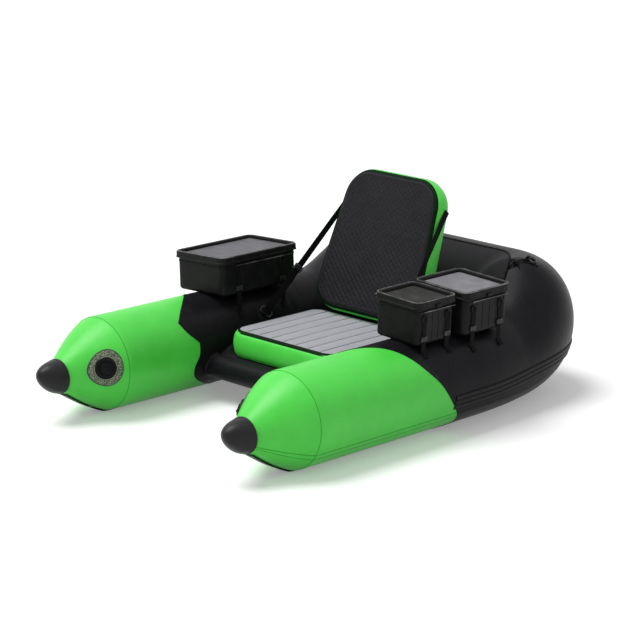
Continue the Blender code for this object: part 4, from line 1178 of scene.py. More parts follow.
@dataclass(frozen=True)
class Border:
    """Line at which the green bow skin ends under the black one."""

    reach: float = 0.340
    shares: tuple[float, ...] = (-0.065, -0.156, -0.265, -0.353, -0.435, -0.524, -0.632, -0.759, -0.888,
        -1.0, -0.941, -0.824, -0.838, -0.891, -0.853, -0.706, -0.529, -0.353, -0.176, 0.029, 0.206, 0.206,
        0.132, 0.029)
    sharp: tuple[int, ...] = (9, 11)

    def run(self, angle: float) -> float:
        """Run of the border at an angle round the tube.

        Args:
            angle: angle round the tube.

        Returns:
            The run.
        """
        count = len(self.shares)
        place = (angle / FULL_TURN * count) % count
        first = int(place)
        before, start, end, after = (self.shares[(first + step) % count] for step in (-1, 0, 1, 2))
        if first in self.sharp:
            before = 2 * start - end
        if (first + 1) % count in self.sharp:
            after = 2 * end - start
        return self.reach * spline(before, start, end, after, place - first)


@dataclass(frozen=True)
class Pontoon:
    """Bow and side skins of one pontoon, its nose cap and its keel strip."""

    maker: PieceMaker
    hull: HullShape
    border: Border
    side: Side
    tuck: float = 0.006
    seam_angle: float = radians(-35.0)
    tape_reach: float = 0.062
    tape_rise: float = 0.0007
    seam_radius: float = 0.0011
    overlap: float = 0.004
    ring_width: float = 0.0035
    ring_dent: float = 0.0016
    unevenness: float = 0.0009
    lump: float = 0.16
    edge_drop: float = 0.0012
    steps: int = 96
    lip: float = 0.0011
    wrinkle: float = 0.0048
    fine_wrinkle: float = 0.0012
    cap_radius: float = 0.0568
    cap_rise: float = 0.014
    cap_share: float = 0.54
    cap_wall: float = 0.0034
    strip_width: float = 0.045
    strip_thickness: float = 0.0035
    gap: float = 0.0003

    @property
    def turns(self) -> list[float]:
        """Angles of the skins' rows, closer at the taped seam.

        Returns:
            The angles.
        """
        extra = [(self.seam_angle + sign * (self.tape_reach + step)) % FULL_TURN for sign in (-1, 1)
            for step in (-0.006, 0.006)]
        return sorted(round_turns(self.steps) + extra)

    def tape(self, angle: float) -> float:
        """Height of the tape that covers the lengthwise seam."""
        away = abs((angle - self.seam_angle + pi) % FULL_TURN - pi)
        return self.tape_rise if away < self.tape_reach else 0.0

    def swell(self, run: float, angle: float) -> float:
        """Slight unevenness of the blown-up skin, always inward."""
        dent = self.ring_dent * ridge(run - self.hull.cone_end, self.ring_width)
        return -self.unevenness * lumps(self.hull.point(run, angle), self.lump) - dent

    def bow_point(self, run: float, angle: float) -> Vector:
        """Point of the bow skin."""
        return self.hull.point(run, angle, self.swell(run, angle) + self.tape(angle))

    def build_bow(self) -> None:
        """Green skin from the nose to under the border."""
        hull = self.hull
        near = [hull.cone_end + step for step in (-0.007, -0.0035, -0.0015, 0.0)]
        runs = spaced(hull.nose_y - self.tuck, hull.cone_end - 0.010, 30) + near
        rows = [[self.bow_point(run, turn) for turn in self.turns] for run in runs]
        for share in [0.0022, 0.0055, 0.011] + spaced(0.022, 1.0, 72):
            rows.append([self.bow_point(hull.cone_end
                + (self.border.run(turn) + self.overlap - hull.cone_end) * share, turn)
                for turn in self.turns])
        self.maker.from_rows(f"{self.side.label}_bow_fabric", rows, "green_fabric",
            nodes=[f"{self.side.label}_bow_skin"], side=self.side)

    def build_seams(self) -> None:
        """Weld lines of the bow: both edges of the lengthwise tape and the ring between cone and tube."""
        hull, lines = self.hull, []
        for sign in (-1, 1):
            turn = self.seam_angle + sign * self.tape_reach
            runs = spaced(hull.nose_y + 0.004, self.border.run(turn) - 0.002, 90)
            lines.append([hull.point(run, turn, self.swell(run, turn) + self.tape_rise * 0.5)
                for run in runs])
        ring = hull.cone_end - self.ring_width
        lines.append([self.bow_point(ring, turn) for turn in round_turns(120, 1)])
        for place, line in enumerate(lines):
            self.maker.from_rows(f"{self.side.label}_bow_seam_{place}", swept(line, self.seam_radius, 6),
                "green_seam", caps=(True, True), side=self.side)

    def crease(self, run: float, angle: float) -> float:
        """Depth of the wrinkles round the inside of the stern corner.

        Args:
            run: run from the nose.
            angle: angle round the section.

        Returns:
            The depth, negative inward.
        """
        share = (run - self.hull.corner_start) / self.hull.corner_length
        across = (angle - pi) / radians(75.0)
        weight = smoothstep((share + 0.35) / 0.45) * smoothstep((1.0 - share) / 0.25)
        weight *= max(0.0, 1 - across * across)
        fold = ripple(run * 34, angle * 1.4, self.side.value * 3.1)
        fine = ripple(run * 75, angle * 2.5, self.side.value * 7.7)
        return -self.wrinkle * weight * fold ** 2 - self.fine_wrinkle * weight * fine

    def build_side(self) -> None:
        """Black skin from the border to the end of the stern corner."""
        hull, turns = self.hull, self.turns
        starts = [self.border.run(turn) for turn in turns]
        rows = [[hull.point(run, turn, self.tape(turn) - self.edge_drop)
            for run, turn in zip(starts, turns)]]
        for step, rise in ((0.0, self.lip), (0.004, self.lip), (0.012, self.lip * 0.7)):
            rows.append([hull.point(run + step, turn, rise + self.tape(turn))
                for run, turn in zip(starts, turns)])
        for share in spaced(0.06, 1.0, 34):
            lift = self.lip * 0.5 * (1 - share)
            runs = [run + (hull.corner_start - run) * share for run in starts]
            rows.append([hull.point(run, turn, lift + self.tape(turn) + self.crease(run, turn)
                + self.swell(run, turn)) for run, turn in zip(runs, turns)])
        for run in spaced(hull.corner_start, hull.corner_end, 90)[1:]:
            rows.append([hull.point(run, turn, self.tape(turn) + self.crease(run, turn)
                + self.swell(run, turn)) for turn in turns])
        self.maker.from_rows(f"{self.side.label}_side_fabric", rows, "black_fabric",
            nodes=[f"{self.side.label}_side_skin"], side=self.side)

    def cap_ring(self, share: float, spare: float) -> list[Vector]:
        """Ring of the nose cap.

        Args:
            share: share of the cap's length from its rim to its tip.
            spare: distance outside the cap's plain cone.

        Returns:
            The ring.
        """
        hull = self.hull
        radius = self.cap_radius * cos(share * pi / 2) ** self.cap_share + spare
        height = hull.section(hull.nose_y).height + self.cap_rise * share * share
        centre = Vector((hull.axis_x, hull.nose_y - hull.cap_length * share, height))
        return [centre + Vector((radius * cos(turn), 0, radius * sin(turn))) for turn in round_turns(64)]

    def build_cap(self) -> None:
        """Rubber cone over the nose, with a thickened rim."""
        tip = [0.9999, 0.9993, 0.9975, 0.994, 0.985, 0.97] + spaced(0.95, 0.14, 34)
        rim = [(0.125, 0.0002), (0.118, 0.0012), (0.105, 0.0017), (0.02, 0.0017), (0.005, 0.0012),
            (0.0, 0.0), (0.0, -self.cap_wall), (0.08, -self.cap_wall)]
        rows = [self.cap_ring(share, rise) for share, rise in [(share, 0.0) for share in tip] + rim]
        self.maker.from_rows(f"{self.side.label}_nose_rubber", rows, "cap_rubber",
            nodes=[f"{self.side.label}_nose_cap"], caps=(True, False), side=self.side)

    def build_strip(self) -> None:
        """Wear strip under the pontoon."""
        hull = self.hull
        runs = spaced(hull.nose_y + 0.08 * hull.cone_length, hull.corner_run(0.30), 70)
        points = [hull.point(run, -pi / 2) for run in runs]
        rows = []
        for place, run in enumerate(runs):
            near, far = points[max(place - 1, 0)], points[min(place + 1, len(points) - 1)]
            slope = (far - near).length / abs(far.y - near.y) if run < hull.cone_end - self.gap else 1.0
            across = hull.section(run).across.to_3d()
            half = self.strip_width / 2
            low = -self.gap - self.strip_thickness * slope
            section = [(half, -self.gap * slope), (-half, -self.gap * slope), (-half, low * 0.55),
                (-half + 0.002, low), (half - 0.002, low), (half, low * 0.55)]
            rows.append([points[place] + across * u + Vector((0, 0, v)) for u, v in section])
        self.maker.from_rows(f"{self.side.label}_keel_rubber", rows, "moulded_rubber",
            nodes=[f"{self.side.label}_keel_strip"], caps=(True, True), side=self.side)

    def build(self) -> None:
        """Build the pontoon's pieces."""
        self.build_bow()
        self.build_seams()
        self.build_side()
        self.build_cap()
        self.build_strip()


@dataclass(frozen=True)
class SternTube:
    """Raised stern tube with its ribbed belt and its laced apron."""

    maker: PieceMaker
    hull: HullShape
    pontoon: Pontoon
    seat_gap: float = 0.0006
    belt_start: float = 0.020
    belt_height: float = 0.049
    belt_tops: tuple[float, float] = (0.146, 0.178)
    belt_base: float = 0.0011
    belt_slot: float = 0.15
    belt_rise: float = 0.0039
    ribs: int = 3
    apron_share: float = 0.65
    apron_angles: tuple[float, float] = (radians(99.0), radians(180.0))
    apron_thickness: float = 0.0015
    apron_slack: float = 0.0018
    hem_lift: float = 0.0031
    hem_radius: float = 0.0024

    def both_ways(self, rows: Rows) -> Rows:
        """Rows from the port end to the middle, carried on to starboard."""
        return rows + [[Side.STARBOARD.turn(point) for point in row] for row in reversed(rows[:-1])]

    def build_skin(self) -> None:
        """Black skin from corner to corner."""
        turns = self.pontoon.turns
        runs = spaced(self.hull.corner_end + self.seat_gap, self.hull.middle, 26)
        rows = [[self.hull.point(run, turn, self.pontoon.tape(turn) + self.pontoon.swell(run, turn))
            for turn in turns] for run in runs]
        self.maker.from_rows("stern_fabric", self.both_ways(rows), "black_fabric", nodes=["stern_skin"])

    def belt_point(self, run: float, down: float, offset: float) -> Vector:
        """Point of the belt.

        Args:
            run: run from the nose.
            down: share of the belt's height below its top edge.
            offset: distance outside the hull.

        Returns:
            The point.
        """
        part = self.hull.section(run)
        share = max(0.0, (run - self.hull.corner_start) / self.hull.corner_length)
        top = self.belt_tops[0] + (self.belt_tops[1] - self.belt_tops[0]) * smoothstep(share)
        angle = asin((top - self.belt_height * down - part.height) / part.half_height)
        return self.hull.point(run, angle, offset)

    def belt_rings(self, run: float) -> Rows:
        """Sections of the belt's band and of each rounded rib on it.

        Args:
            run: run from the nose.

        Returns:
            The sections.
        """
        base = [self.belt_point(run, step / 18, self.belt_base) for step in range(19)]
        base += [self.belt_point(run, 1 - step / 6, self.seat_gap * 0.5) for step in range(7)]
        rings = [base]
        for rib in range(self.ribs):
            ring = []
            for step in range(9):
                lift = sin(pi * step / 8) ** 0.55
                across = (rib + self.belt_slot + (1 - 2 * self.belt_slot) * step / 8) / self.ribs
                rise = self.belt_base + (self.belt_rise - self.belt_base) * lift
                ring.append(self.belt_point(run, across, rise))
            rings.append(ring)
        return rings

    def build_belt(self) -> None:
        """Ribbed rubber belt from side to side round the stern, its band near-black between the ribs as
        painted shade of the gaps.
        """
        stations = [self.belt_rings(run) for run in spaced(self.belt_start, self.hull.middle, 110)]
        for place in range(self.ribs + 1):
            rows = self.both_ways([rings[place] for rings in stations])
            # The band, seen only between the ribs, is near-black as painted shade.
            name, finish = (f"rub_rib_{place}", "moulded_rubber") if place else ("rub_belt", "belt_rubber")
            self.maker.from_rows(name, rows, finish, nodes=[] if place else ["rub_strake"],
                caps=(True, True))

    def apron_point(self, run: float, angle: float) -> Vector:
        """Point of the apron, with slack folds that fade at its edges.

        Args:
            run: run from the nose.
            angle: angle round the section.

        Returns:
            The point.
        """
        share = (angle - self.apron_angles[0]) / (self.apron_angles[1] - self.apron_angles[0])
        edge = smoothstep(share / 0.15) * smoothstep((1 - share) / 0.15)
        slack = self.apron_slack * edge * ripple(run * 14, angle * 2.0, 0.3)
        return self.hull.point(run, angle, self.seat_gap + slack)

    def build_apron(self) -> None:
        """Apron cloth with its hem, laced at both quarters."""
        first = self.hull.corner_run(self.apron_share)
        runs = spaced(first, self.hull.middle, 44)
        angles = spaced(*self.apron_angles, 34)
        rows = self.both_ways([[self.apron_point(run, angle) for angle in angles] for run in runs])
        cloth = self.maker.from_rows("apron_cloth", rows, "apron_cloth", nodes=["rear_apron"], closed=False,
            thickness=self.apron_thickness)
        line = [self.hull.point(first, angle, self.hem_lift) for angle in reversed(angles)]
        line += [self.hull.point(run, angles[0], self.hem_lift) for run in runs[1:]]
        line += [Side.STARBOARD.turn(point) for point in reversed(line[:-1])]
        hem = self.maker.from_rows("apron_hem", swept(line, self.hem_radius, 8), "webbing_cloth",
            caps=(True, True))
        width = 2 * (self.hull.middle - first)
        length = rows_area(rows) / width
        LOG.info("apron cut %.3f by %.3f m", width, length)

    def build(self) -> None:
        """Build the stern's pieces."""
        self.build_skin()
        self.build_belt()
        self.build_apron()
        self.maker.dress_node("chamber_baffle", "black_fabric")


@dataclass(frozen=True)
class InflationValve:
    """Valve on a bow cone: printed patch, flanged body and turning cap."""

    maker: PieceMaker
    hull: HullShape
    side: Side
    setback: float = 0.1005
    angle: float = radians(168.4)
    hole: float = 0.0198
    patch: float = 0.061
    flange: float = 0.036
    knob: float = 0.0205
    foot: float = 0.0048
    mark: float = 0.0042
    marks: int = 72
    patch_lift: float = 0.0018
    stud_circle: float = 0.0300
    stud_radius: float = 0.0017
    studs: int = 12
    flutes: int = 18
    grip_width: float = 0.006

    @property
    def run(self) -> float:
        """Run of the valve's middle."""
        return self.hull.nose_y + self.setback

    @cached_property
    def frame(self) -> Matrix:
        """Frame of the valve on its own side: Z outward.

        Returns:
            The frame.
        """
        port = self.hull.frame(self.run, self.angle)
        origin, along, out = (self.side.turn(port.col[place].to_3d()) for place in (3, 0, 2))
        return frame_at(origin, along, out)

    def patch_point(self, turn: float, radius: float, offset: float) -> Vector:
        """Point of the skin at a distance from the valve's middle.

        Args:
            turn: angle round the valve.
            radius: distance from its middle.
            offset: distance outside the hull.

        Returns:
            The point.
        """
        part = self.hull.section(self.run)
        ahead = self.hull.point(self.run + 0.01, self.angle) - self.hull.point(self.run - 0.01, self.angle)
        slope = ahead.length / 0.02
        return self.hull.point(self.run + radius * sin(turn) / slope, self.angle
            + radius * cos(turn) / part.half_width, offset)

    def build_patch(self) -> None:
        """Printed patch that lies on the cone."""
        turns = round_turns(self.marks, 1)
        bands = [(radius, self.patch_lift) for radius in spaced(self.hole, self.patch - 0.0012, 18)]
        bands += [(self.patch - 0.0003, 0.0014), (self.patch, 0.0002)]
        rows = [[self.patch_point(turn, radius, offset) for turn in turns] for radius, offset in bands]
        item = self.maker.from_rows(f"{self.side.label}_valve_print", rows, "valve_print",
            nodes=[f"{self.side.label}_valve_patch"], closed=False, side=self.side)
        layer = item.data.uv_layers[METRES]
        width = len(turns)
        for polygon in item.data.polygons:
            steps = [item.data.loops[loop].vertex_index % width for loop in polygon.loop_indices]
            for loop, step in zip(polygon.loop_indices, steps):
                row = item.data.loops[loop].vertex_index // width
                layer.data[loop].uv = (step * self.mark, bands[row][0])

    def build(self) -> None:
        """Build the patch, the body and the cap, and dress the poppet."""
        self.build_patch()
        self.build_flange()
        self.build_knob()
        self.maker.dress_node(f"{self.side.label}_valve_poppet", "valve_plastic")

    def build_flange(self) -> None:
        """Flanged body with a ring of studs."""
        frame, name = self.frame, self.side.label
        top = self.foot - 0.0003
        body = [(self.hole - 0.0045, -0.010), (self.hole - 0.0048, top - 0.0015), (self.hole - 0.0040, top),
            (0.0222, top), (0.0228, top - 0.0009), (0.0242, top - 0.0009), (0.0250, top), (0.0335, top),
            (0.0352, top - 0.0006), (self.flange, top - 0.0020), (self.flange, -0.0045)]
        self.maker.from_rows(f"{name}_valve_flange", placed(lathe(body), frame), "valve_plastic",
            nodes=[f"{name}_valve_body"])
        studs = []
        for turn in round_turns(self.studs):
            centre = Vector((self.stud_circle * cos(turn), self.stud_circle * sin(turn), top))
            studs.append(bar(self.stud_radius, centre - Vector((0, 0, 0.001)),
                centre + Vector((0, 0, 0.0008)), 12))
        self.maker.from_cage(f"{name}_valve_studs", joined(studs), "valve_plastic", matrix=frame)

    def build_knob(self) -> None:
        """Fluted cap with its grip, which turn."""
        frame, name = self.frame, self.side.label
        rise = self.foot + 0.0060
        knob = []
        for radius, height, flute in ((0.0140, -0.008, 0.0), (0.0140, self.foot, 0.0),
                (self.knob, self.foot, 0.0008), (self.knob, rise - 0.0016, 0.0008),
                (self.knob - 0.0010, rise - 0.0004, 0.0003), (self.knob - 0.0030, rise, 0.0),
                (0.0005, rise, 0.0)):
            row = []
            for turn in round_turns(6 * self.flutes):
                reach = radius - flute * (0.5 + 0.5 * cos(self.flutes * turn))
                row.append(Vector((reach * cos(turn), reach * sin(turn), height)))
            knob.append(row)
        body_name = f"{name}_cap"
        self.maker.from_rows(f"{name}_valve_knob", placed(knob, frame), "valve_plastic", body=body_name,
            nodes=[f"{name}_valve_cap"], caps=(True, True))
        grip = block((2 * (self.knob - self.grip_width), self.grip_width, 0.008), (0, 0, rise))
        self.maker.from_cage(f"{name}_valve_grip", grip, "valve_plastic", body=body_name, matrix=frame,
            bevel=0.0016)


@dataclass(frozen=True)
class Deck:
    """Cross tube ahead of the seat and the sheet floor behind it."""

    maker: PieceMaker
    hull: HullShape
    y: float = -0.2145
    height: float = 0.112
    radius: float = 0.0405
    floor: float = 0.150
    floor_thickness: float = 0.0015
    back_share: float = 0.84
    seat_gap: float = 0.0006
    seat_half: float = 0.248
    crease: float = 0.0028
    crease_reach: float = 0.045
    turn_up: float = 0.016
    folds: tuple[float, float] = (0.011, 0.003)

    def build_tube(self) -> None:
        """Cross tube, coped round the pontoons, with welded flanges and creases at its ends."""
        turns = round_turns(64)
        reach = self.hull.tube_radius + self.seat_gap
        stations = [1.0, 0.999, 0.985, 0.975, 0.968] + [1 - step ** 1.5 for step in spaced(0.115, 1.0, 46)]
        rows = []
        for place, share in enumerate(stations):
            row = []
            for turn in turns:
                collar = {0: 0.0005, 1: 0.0055, 2: 0.0050, 3: 0.0012}.get(place, 0.0)
                radius = self.radius + collar
                z = self.height + radius * sin(turn)
                end = self.hull.axis_x - sqrt(reach ** 2 - (z - self.hull.height) ** 2)
                x = end * share
                away = end - x
                crease = self.crease * exp(-away / self.crease_reach) * (0.5
                    + 0.5 * sin(11 * turn + 7 * away / 0.1))
                if place < 3:
                    crease = 0.0
                radius -= crease
                row.append(Vector((x, self.y + radius * cos(turn), self.height + radius * sin(turn))))
            rows.append(row)
        rows += [[Side.STARBOARD.turn(point) for point in row] for row in reversed(rows[:-1])]
        self.maker.from_rows("front_tube", rows, "black_fabric", nodes=["front_thwart"])

    def build_floor(self) -> None:
        """Floor sheet, slack and turned up beside the seat."""
        start = self.y + sqrt(self.radius ** 2 - (self.floor - self.height) ** 2) + self.seat_gap
        runs = spaced(start, self.hull.corner_run(self.back_share), 90)
        shares = [sin(share * pi / 2) for share in spaced(-1.0, 1.0, 61)]
        rows = []
        for run in runs:
            row = []
            edge_point = self.hull.wall_point(run, self.floor, 0.0)
            for share in shares:
                x = abs(share) * edge_point.x
                slack = smoothstep((x - self.seat_half) / 0.02)
                fold, fine = ripple(run * 22, share * 3, 0.7), ripple(run * 60, share * 6, 1.9)
                calm = smoothstep((run - start) / 0.07)
                lift = slack * calm * (self.folds[0] * fold + self.folds[1] * fine)
                turn_up = smoothstep((abs(share) - 0.90) / 0.10) * self.turn_up * calm
                z = self.floor + lift + turn_up
                limit = self.hull.wall_point(run, z, self.seat_gap + self.floor_thickness)
                row.append(Vector((copysign(abs(share) * limit.x, share), limit.y * share * share
                    + edge_point.y * (1 - share * share), z)))
            rows.append(row)
        item = self.maker.from_rows("floor_sheet", rows, "apron_cloth", nodes=["seat_floor"], closed=False,
            thickness=self.floor_thickness)
        length = runs[-1] - runs[0]
        width = rows_area(rows) / length
        LOG.info("floor cut %.3f by %.3f m", width, length)

    def build(self) -> None:
        """Build the tube and the floor."""
        self.build_tube()
        self.build_floor()


# Seat and backrest


@dataclass(frozen=True)
class Cushion:
    """Blown-up cushion about the middle of its panel: flat face at Z 0, sides swelling below it."""

    half_x: float
    half_y: float
    corner: float
    thickness: float
    bulge: float
    weld_depth: float = 0.0022
    weld_width: float = 0.018
    weld_share: float = 0.06
    dent: float = 0.0014

    def rows(self) -> Rows:
        """Rows down the cushion's side, with a pulled-in weld near each face.

        Returns:
            The rows.
        """
        rows = []
        levels = [0.0, 0.012, 0.03, 0.05, 0.07, 0.09] + spaced(0.12, 0.88, 20) + [0.91, 0.93, 0.95, 0.97,
            0.988, 1.0]
        for share in levels:
            swell = self.bulge * sqrt(max(0.0, 1 - (2 * share - 1) ** 2))
            swell -= self.weld_depth * (ridge(share - self.weld_share, self.weld_width)
                + ridge(share - (1 - self.weld_share), self.weld_width))
            outline = rounded_outline(self.half_x + swell, self.half_y + swell, self.corner + swell, 14,
                0.014)
            row = []
            for x, y in outline:
                dent = self.dent * lumps(Vector((x, y, share * 0.04)), 0.03) * sin(share * pi)
                shrink = 1 - dent / max(self.half_x, 0.1)
                row.append(Vector((x * shrink, y * shrink, -self.thickness * share)))
            rows.append(row)
        return rows


@dataclass(frozen=True)
class FoamPanel:
    """Flat foam panel with rounded corners and a face that a function shapes."""

    half_x: float
    half_y: float
    corner: float
    low: float
    columns: tuple[float, ...]
    across: int

    def reach(self, x: float) -> float:
        """Half length of the panel at an X."""
        over = max(0.0, abs(x) - (self.half_x - self.corner))
        return self.half_y - self.corner + sqrt(max(0.0, self.corner ** 2 - over ** 2))

    def rows(self, face: Callable[[float, float], float]) -> Rows:
        """Rows across the panel, each round its face and its back.

        Args:
            face: height of the face at X and Y.

        Returns:
            The rows.
        """
        rows = []
        for x in self.columns:
            reach = self.reach(x)
            ys = spaced(-reach, reach, self.across)
            row = [Vector((x, y, face(x, y))) for y in ys]
            row += [Vector((x, reach, self.low)), Vector((x, -reach, self.low))]
            rows.append(row)
        return rows


@dataclass(frozen=True)
class SeatUnit:
    """Seat cushion, its grooved pad and the pad's black edging, very dark green, partly its own colour and
    partly painted shade of the pad's side.
    """

    maker: PieceMaker
    y: float = 0.022
    top: float = 0.2388
    half_x: float = 0.233
    half_y: float = 0.200
    corner: float = 0.046
    thickness: float = 0.087
    bulge: float = 0.018
    margin: float = 0.004
    pad: float = 0.005
    gap: float = 0.0003
    grooves: int = 7
    groove_width: float = 0.0044
    groove_depth: float = 0.0024
    crown: float = 0.0012
    edge_drop: float = 0.0018
    edge_width: float = 0.006
    unevenness: float = 0.0005

    def face(self, x: float, y: float) -> float:
        """Height of the pad's face: a slight crown, rounded edges and the grooves.

        Args:
            x: place across the pad.
            y: place along it.

        Returns:
            The height.
        """
        pad_x, pad_y = self.half_x - self.margin, self.half_y - self.margin
        panel = FoamPanel(pad_x, pad_y, self.corner, 0.0, (), 2)
        edge = min(pad_x - abs(x), panel.reach(x) - abs(y))
        height = self.gap + self.pad + self.crown * (1 - (x / pad_x) ** 2) * (1 - (y / pad_y) ** 2)
        height -= self.edge_drop * (1 - smoothstep(edge / self.edge_width))
        spacing = 2 * pad_x / (self.grooves + 1)
        place = (x + pad_x) / spacing
        away = abs(place - round(place)) * spacing
        if 0 < round(place) <= self.grooves:
            ends = smoothstep((panel.reach(x) - 0.002 - abs(y)) / 0.005)
            height -= self.groove_depth * ridge(away, self.groove_width / 2) * ends
        return height - self.unevenness * lumps(Vector((x, y, 0)), 0.05)

    def columns(self) -> tuple[float, ...]:
        """X of the pad's rows, closer at the grooves and round the corners.

        Returns:
            The places.
        """
        pad_x = self.half_x - self.margin
        spacing = 2 * pad_x / (self.grooves + 1)
        places = set()
        for groove in range(1, self.grooves + 1):
            for step in (-0.004, -0.0026, -0.0017, -0.0008, 0.0, 0.0008, 0.0017, 0.0026, 0.004):
                places.add(round(groove * spacing - pad_x + step, 5))
            places.add(round(groove * spacing - pad_x + spacing / 2, 5))
        for step in range(15):
            turn = pi / 2 * step / 14
            for sign in (-1, 1):
                places.add(round(sign * (pad_x - self.corner + self.corner * sin(turn)), 5))
        return tuple(sorted(places))

    def build(self) -> None:
        """Build the cushion, the pad with dark strips in its grooves as painted shade, and the edging."""
        frame = Matrix.Translation((0, self.y, self.top))
        cushion = Cushion(self.half_x, self.half_y, self.corner, self.thickness, self.bulge)
        item = self.maker.from_rows("seat_cushion_skin", placed(cushion.rows(), frame), "green_fabric",
            nodes=["seat_cushion"], caps=(True, True))
        panel = FoamPanel(self.half_x - self.margin, self.half_y - self.margin, self.corner, self.gap,
            self.columns(), 66)
        pad = self.maker.from_rows("seat_foam", placed(panel.rows(self.face), frame), "grey_foam",
            nodes=["seat_pad"], caps=(True, True))
        pad_x = self.half_x - self.margin
        spacing = 2 * pad_x / (self.grooves + 1)
        # Near-black strips in the grooves' bottoms: painted shade.
        lines = [block((self.groove_width * 0.72, 2 * (panel.reach(spacing * groove - pad_x) - 0.007),
            0.0010), (spacing * groove - pad_x, 0, self.gap + self.pad - self.groove_depth * 0.55))
            for groove in range(1, self.grooves + 1)]
        self.maker.from_cage("seat_groove_lines", joined(lines), "weld_fabric", slot="grey_foam",
            matrix=frame)
        outline = rounded_outline(self.half_x - self.margin, self.half_y - self.margin, self.corner, 14,
            0.02)
        section = [(0.0002, 0.0040), (0.0012, 0.0050), (0.0030, 0.0046), (0.0052, 0.0028), (0.0080, 0.0002),
            (0.0098, -0.0022), (0.0112, -0.0042), (0.0100, -0.0052), (0.0, -0.0006)]
        rows = profile_rows(outline, section)
        # Edging round the pad: very dark green, partly its own colour and partly painted shade of the pad's
        # side.
        self.maker.from_rows("seat_edging", placed(rows, frame), "dark_green_weld", wrap=True)
        self.maker.dress_node("seat_valve_plug", "valve_plastic")


@dataclass(frozen=True)
class BackrestUnit:
    """Backrest cushion with its embossed pad, which fold forward on a fabric tab."""

    maker: PieceMaker
    foot: tuple[float, float, float] = (0.0, 0.1917, 0.2801)
    half_x: float = 0.195
    foot_half_x: float = 0.2325
    height: float = 0.472
    corner: float = 0.084
    recline: float = radians(20.8)
    thickness: float = 0.066
    bulge: float = 0.017
    front: float = 0.0053
    gap: float = 0.0003
    pitch: float = 0.0145
    groove: float = 0.0022
    groove_width: float = 0.0024
    plain_edge: float = 0.010
    crown: float = 0.0014
    edge_drop: float = 0.0026
    edge_width: float = 0.009
    unevenness: float = 0.0004

    @property
    def up(self) -> Vector:
        """Direction up the panel."""
        return Vector((0, sin(self.recline), cos(self.recline)))

    @property
    def ahead(self) -> Vector:
        """Direction out of the panel's face."""
        return Vector((0, -cos(self.recline), sin(self.recline)))

    @property
    def slope(self) -> float:
        """How fast the swollen side draws in towards the top."""
        return (self.half_x + self.bulge) * (self.foot_half_x / self.half_x - 1) / self.height

    def widened(self, rows: Rows) -> Rows:
        """Rows whose width grows from the top to the foot, at the lowest Y, in the panel's frame.

        Args:
            rows: rows of even width.

        Returns:
            The rows in the world.
        """
        grown = self.foot_half_x / self.half_x - 1
        wide = []
        for row in rows:
            wide.append([Vector((point.x * (1 + grown * (0.5 - point.y / self.height)), point.y, point.z))
                for point in row])
        return placed(wide, self.frame())

    def frame(self) -> Matrix:
        """Frame of the panel: X to port, Y up it, Z out of its face."""
        origin = Vector(self.foot) - self.ahead * self.front + self.up * self.height / 2
        return frame_at(origin, X_AXIS, self.ahead)

    def face(self, x: float, y: float) -> float:
        """Height of the pad's face: crossing diagonal channels between small domes.

        Args:
            x: place across the pad.
            y: place up it.

        Returns:
            The height.
        """
        panel = FoamPanel(self.half_x, self.height / 2, self.corner, 0.0, (), 2)
        edge = min(self.half_x - abs(x), panel.reach(x) - abs(y))
        height = self.front + self.crown * (1 - (x / self.half_x) ** 2)
        height -= self.edge_drop * (1 - smoothstep(edge / self.edge_width))
        for sign, depth in ((-1, 0.35), (1, 1.0)):
            across = (x + sign * y) / (self.pitch * sqrt(2))
            away = abs(across - round(across)) * self.pitch
            break_up = min(1.0, max(0.25, 0.62 + 0.9 * noise.noise(Vector((x * 60, y * 60, sign)))))
            inside = smoothstep((edge - self.plain_edge) / 0.004)
            height -= self.groove * depth * break_up * ridge(away, self.groove_width) * inside
        return height - self.unevenness * lumps(Vector((x, y, 3)), 0.05)

    def build(self) -> None:
        """Build the cushion, the pad and the dark green band round it, painted shade of the cushion's bulge
        under the pad's edge.
        """
        cushion = Cushion(self.half_x, self.height / 2, self.corner, self.thickness, self.bulge)
        item = self.maker.from_rows("backrest_skin", self.widened(cushion.rows()), "green_fabric",
            body=BACK_BODY, nodes=["backrest_cushion"], caps=(True, True))
        middle = spaced(-(self.half_x - self.corner), self.half_x - self.corner, 98)
        rim = [self.half_x - self.corner * (1 - sin(turn)) for turn in spaced(0.0, pi / 2, 44)[1:]]
        columns = tuple([-x for x in reversed(rim)] + middle + rim)
        panel = FoamPanel(self.half_x, self.height / 2, self.corner, self.gap, columns, 210)
        pad = self.maker.from_rows("backrest_foam", self.widened(panel.rows(self.face)), "black_foam",
            body=BACK_BODY, nodes=["backrest_pad"], caps=(True, True))
        outline = rounded_outline(self.half_x, self.height / 2, self.corner, 18, 0.02)
        section = [(0.0004, 0.0016), (0.0034, 0.0014), (0.0074, -0.0016), (0.0106, -0.0060),
            (0.0094, -0.0066), (0.0004, -0.0012)]
        # Dark green band round the pad: painted shade where the cushion swells out under it.
        self.maker.from_rows("backrest_weld", self.widened(profile_rows(outline, section)),
            "dark_green_weld", body=BACK_BODY, wrap=True)
        self.maker.dress_node("backrest_valve_plug", "valve_plastic")
        self.maker.dress_node("backrest_hinge_tab", "webbing_cloth")


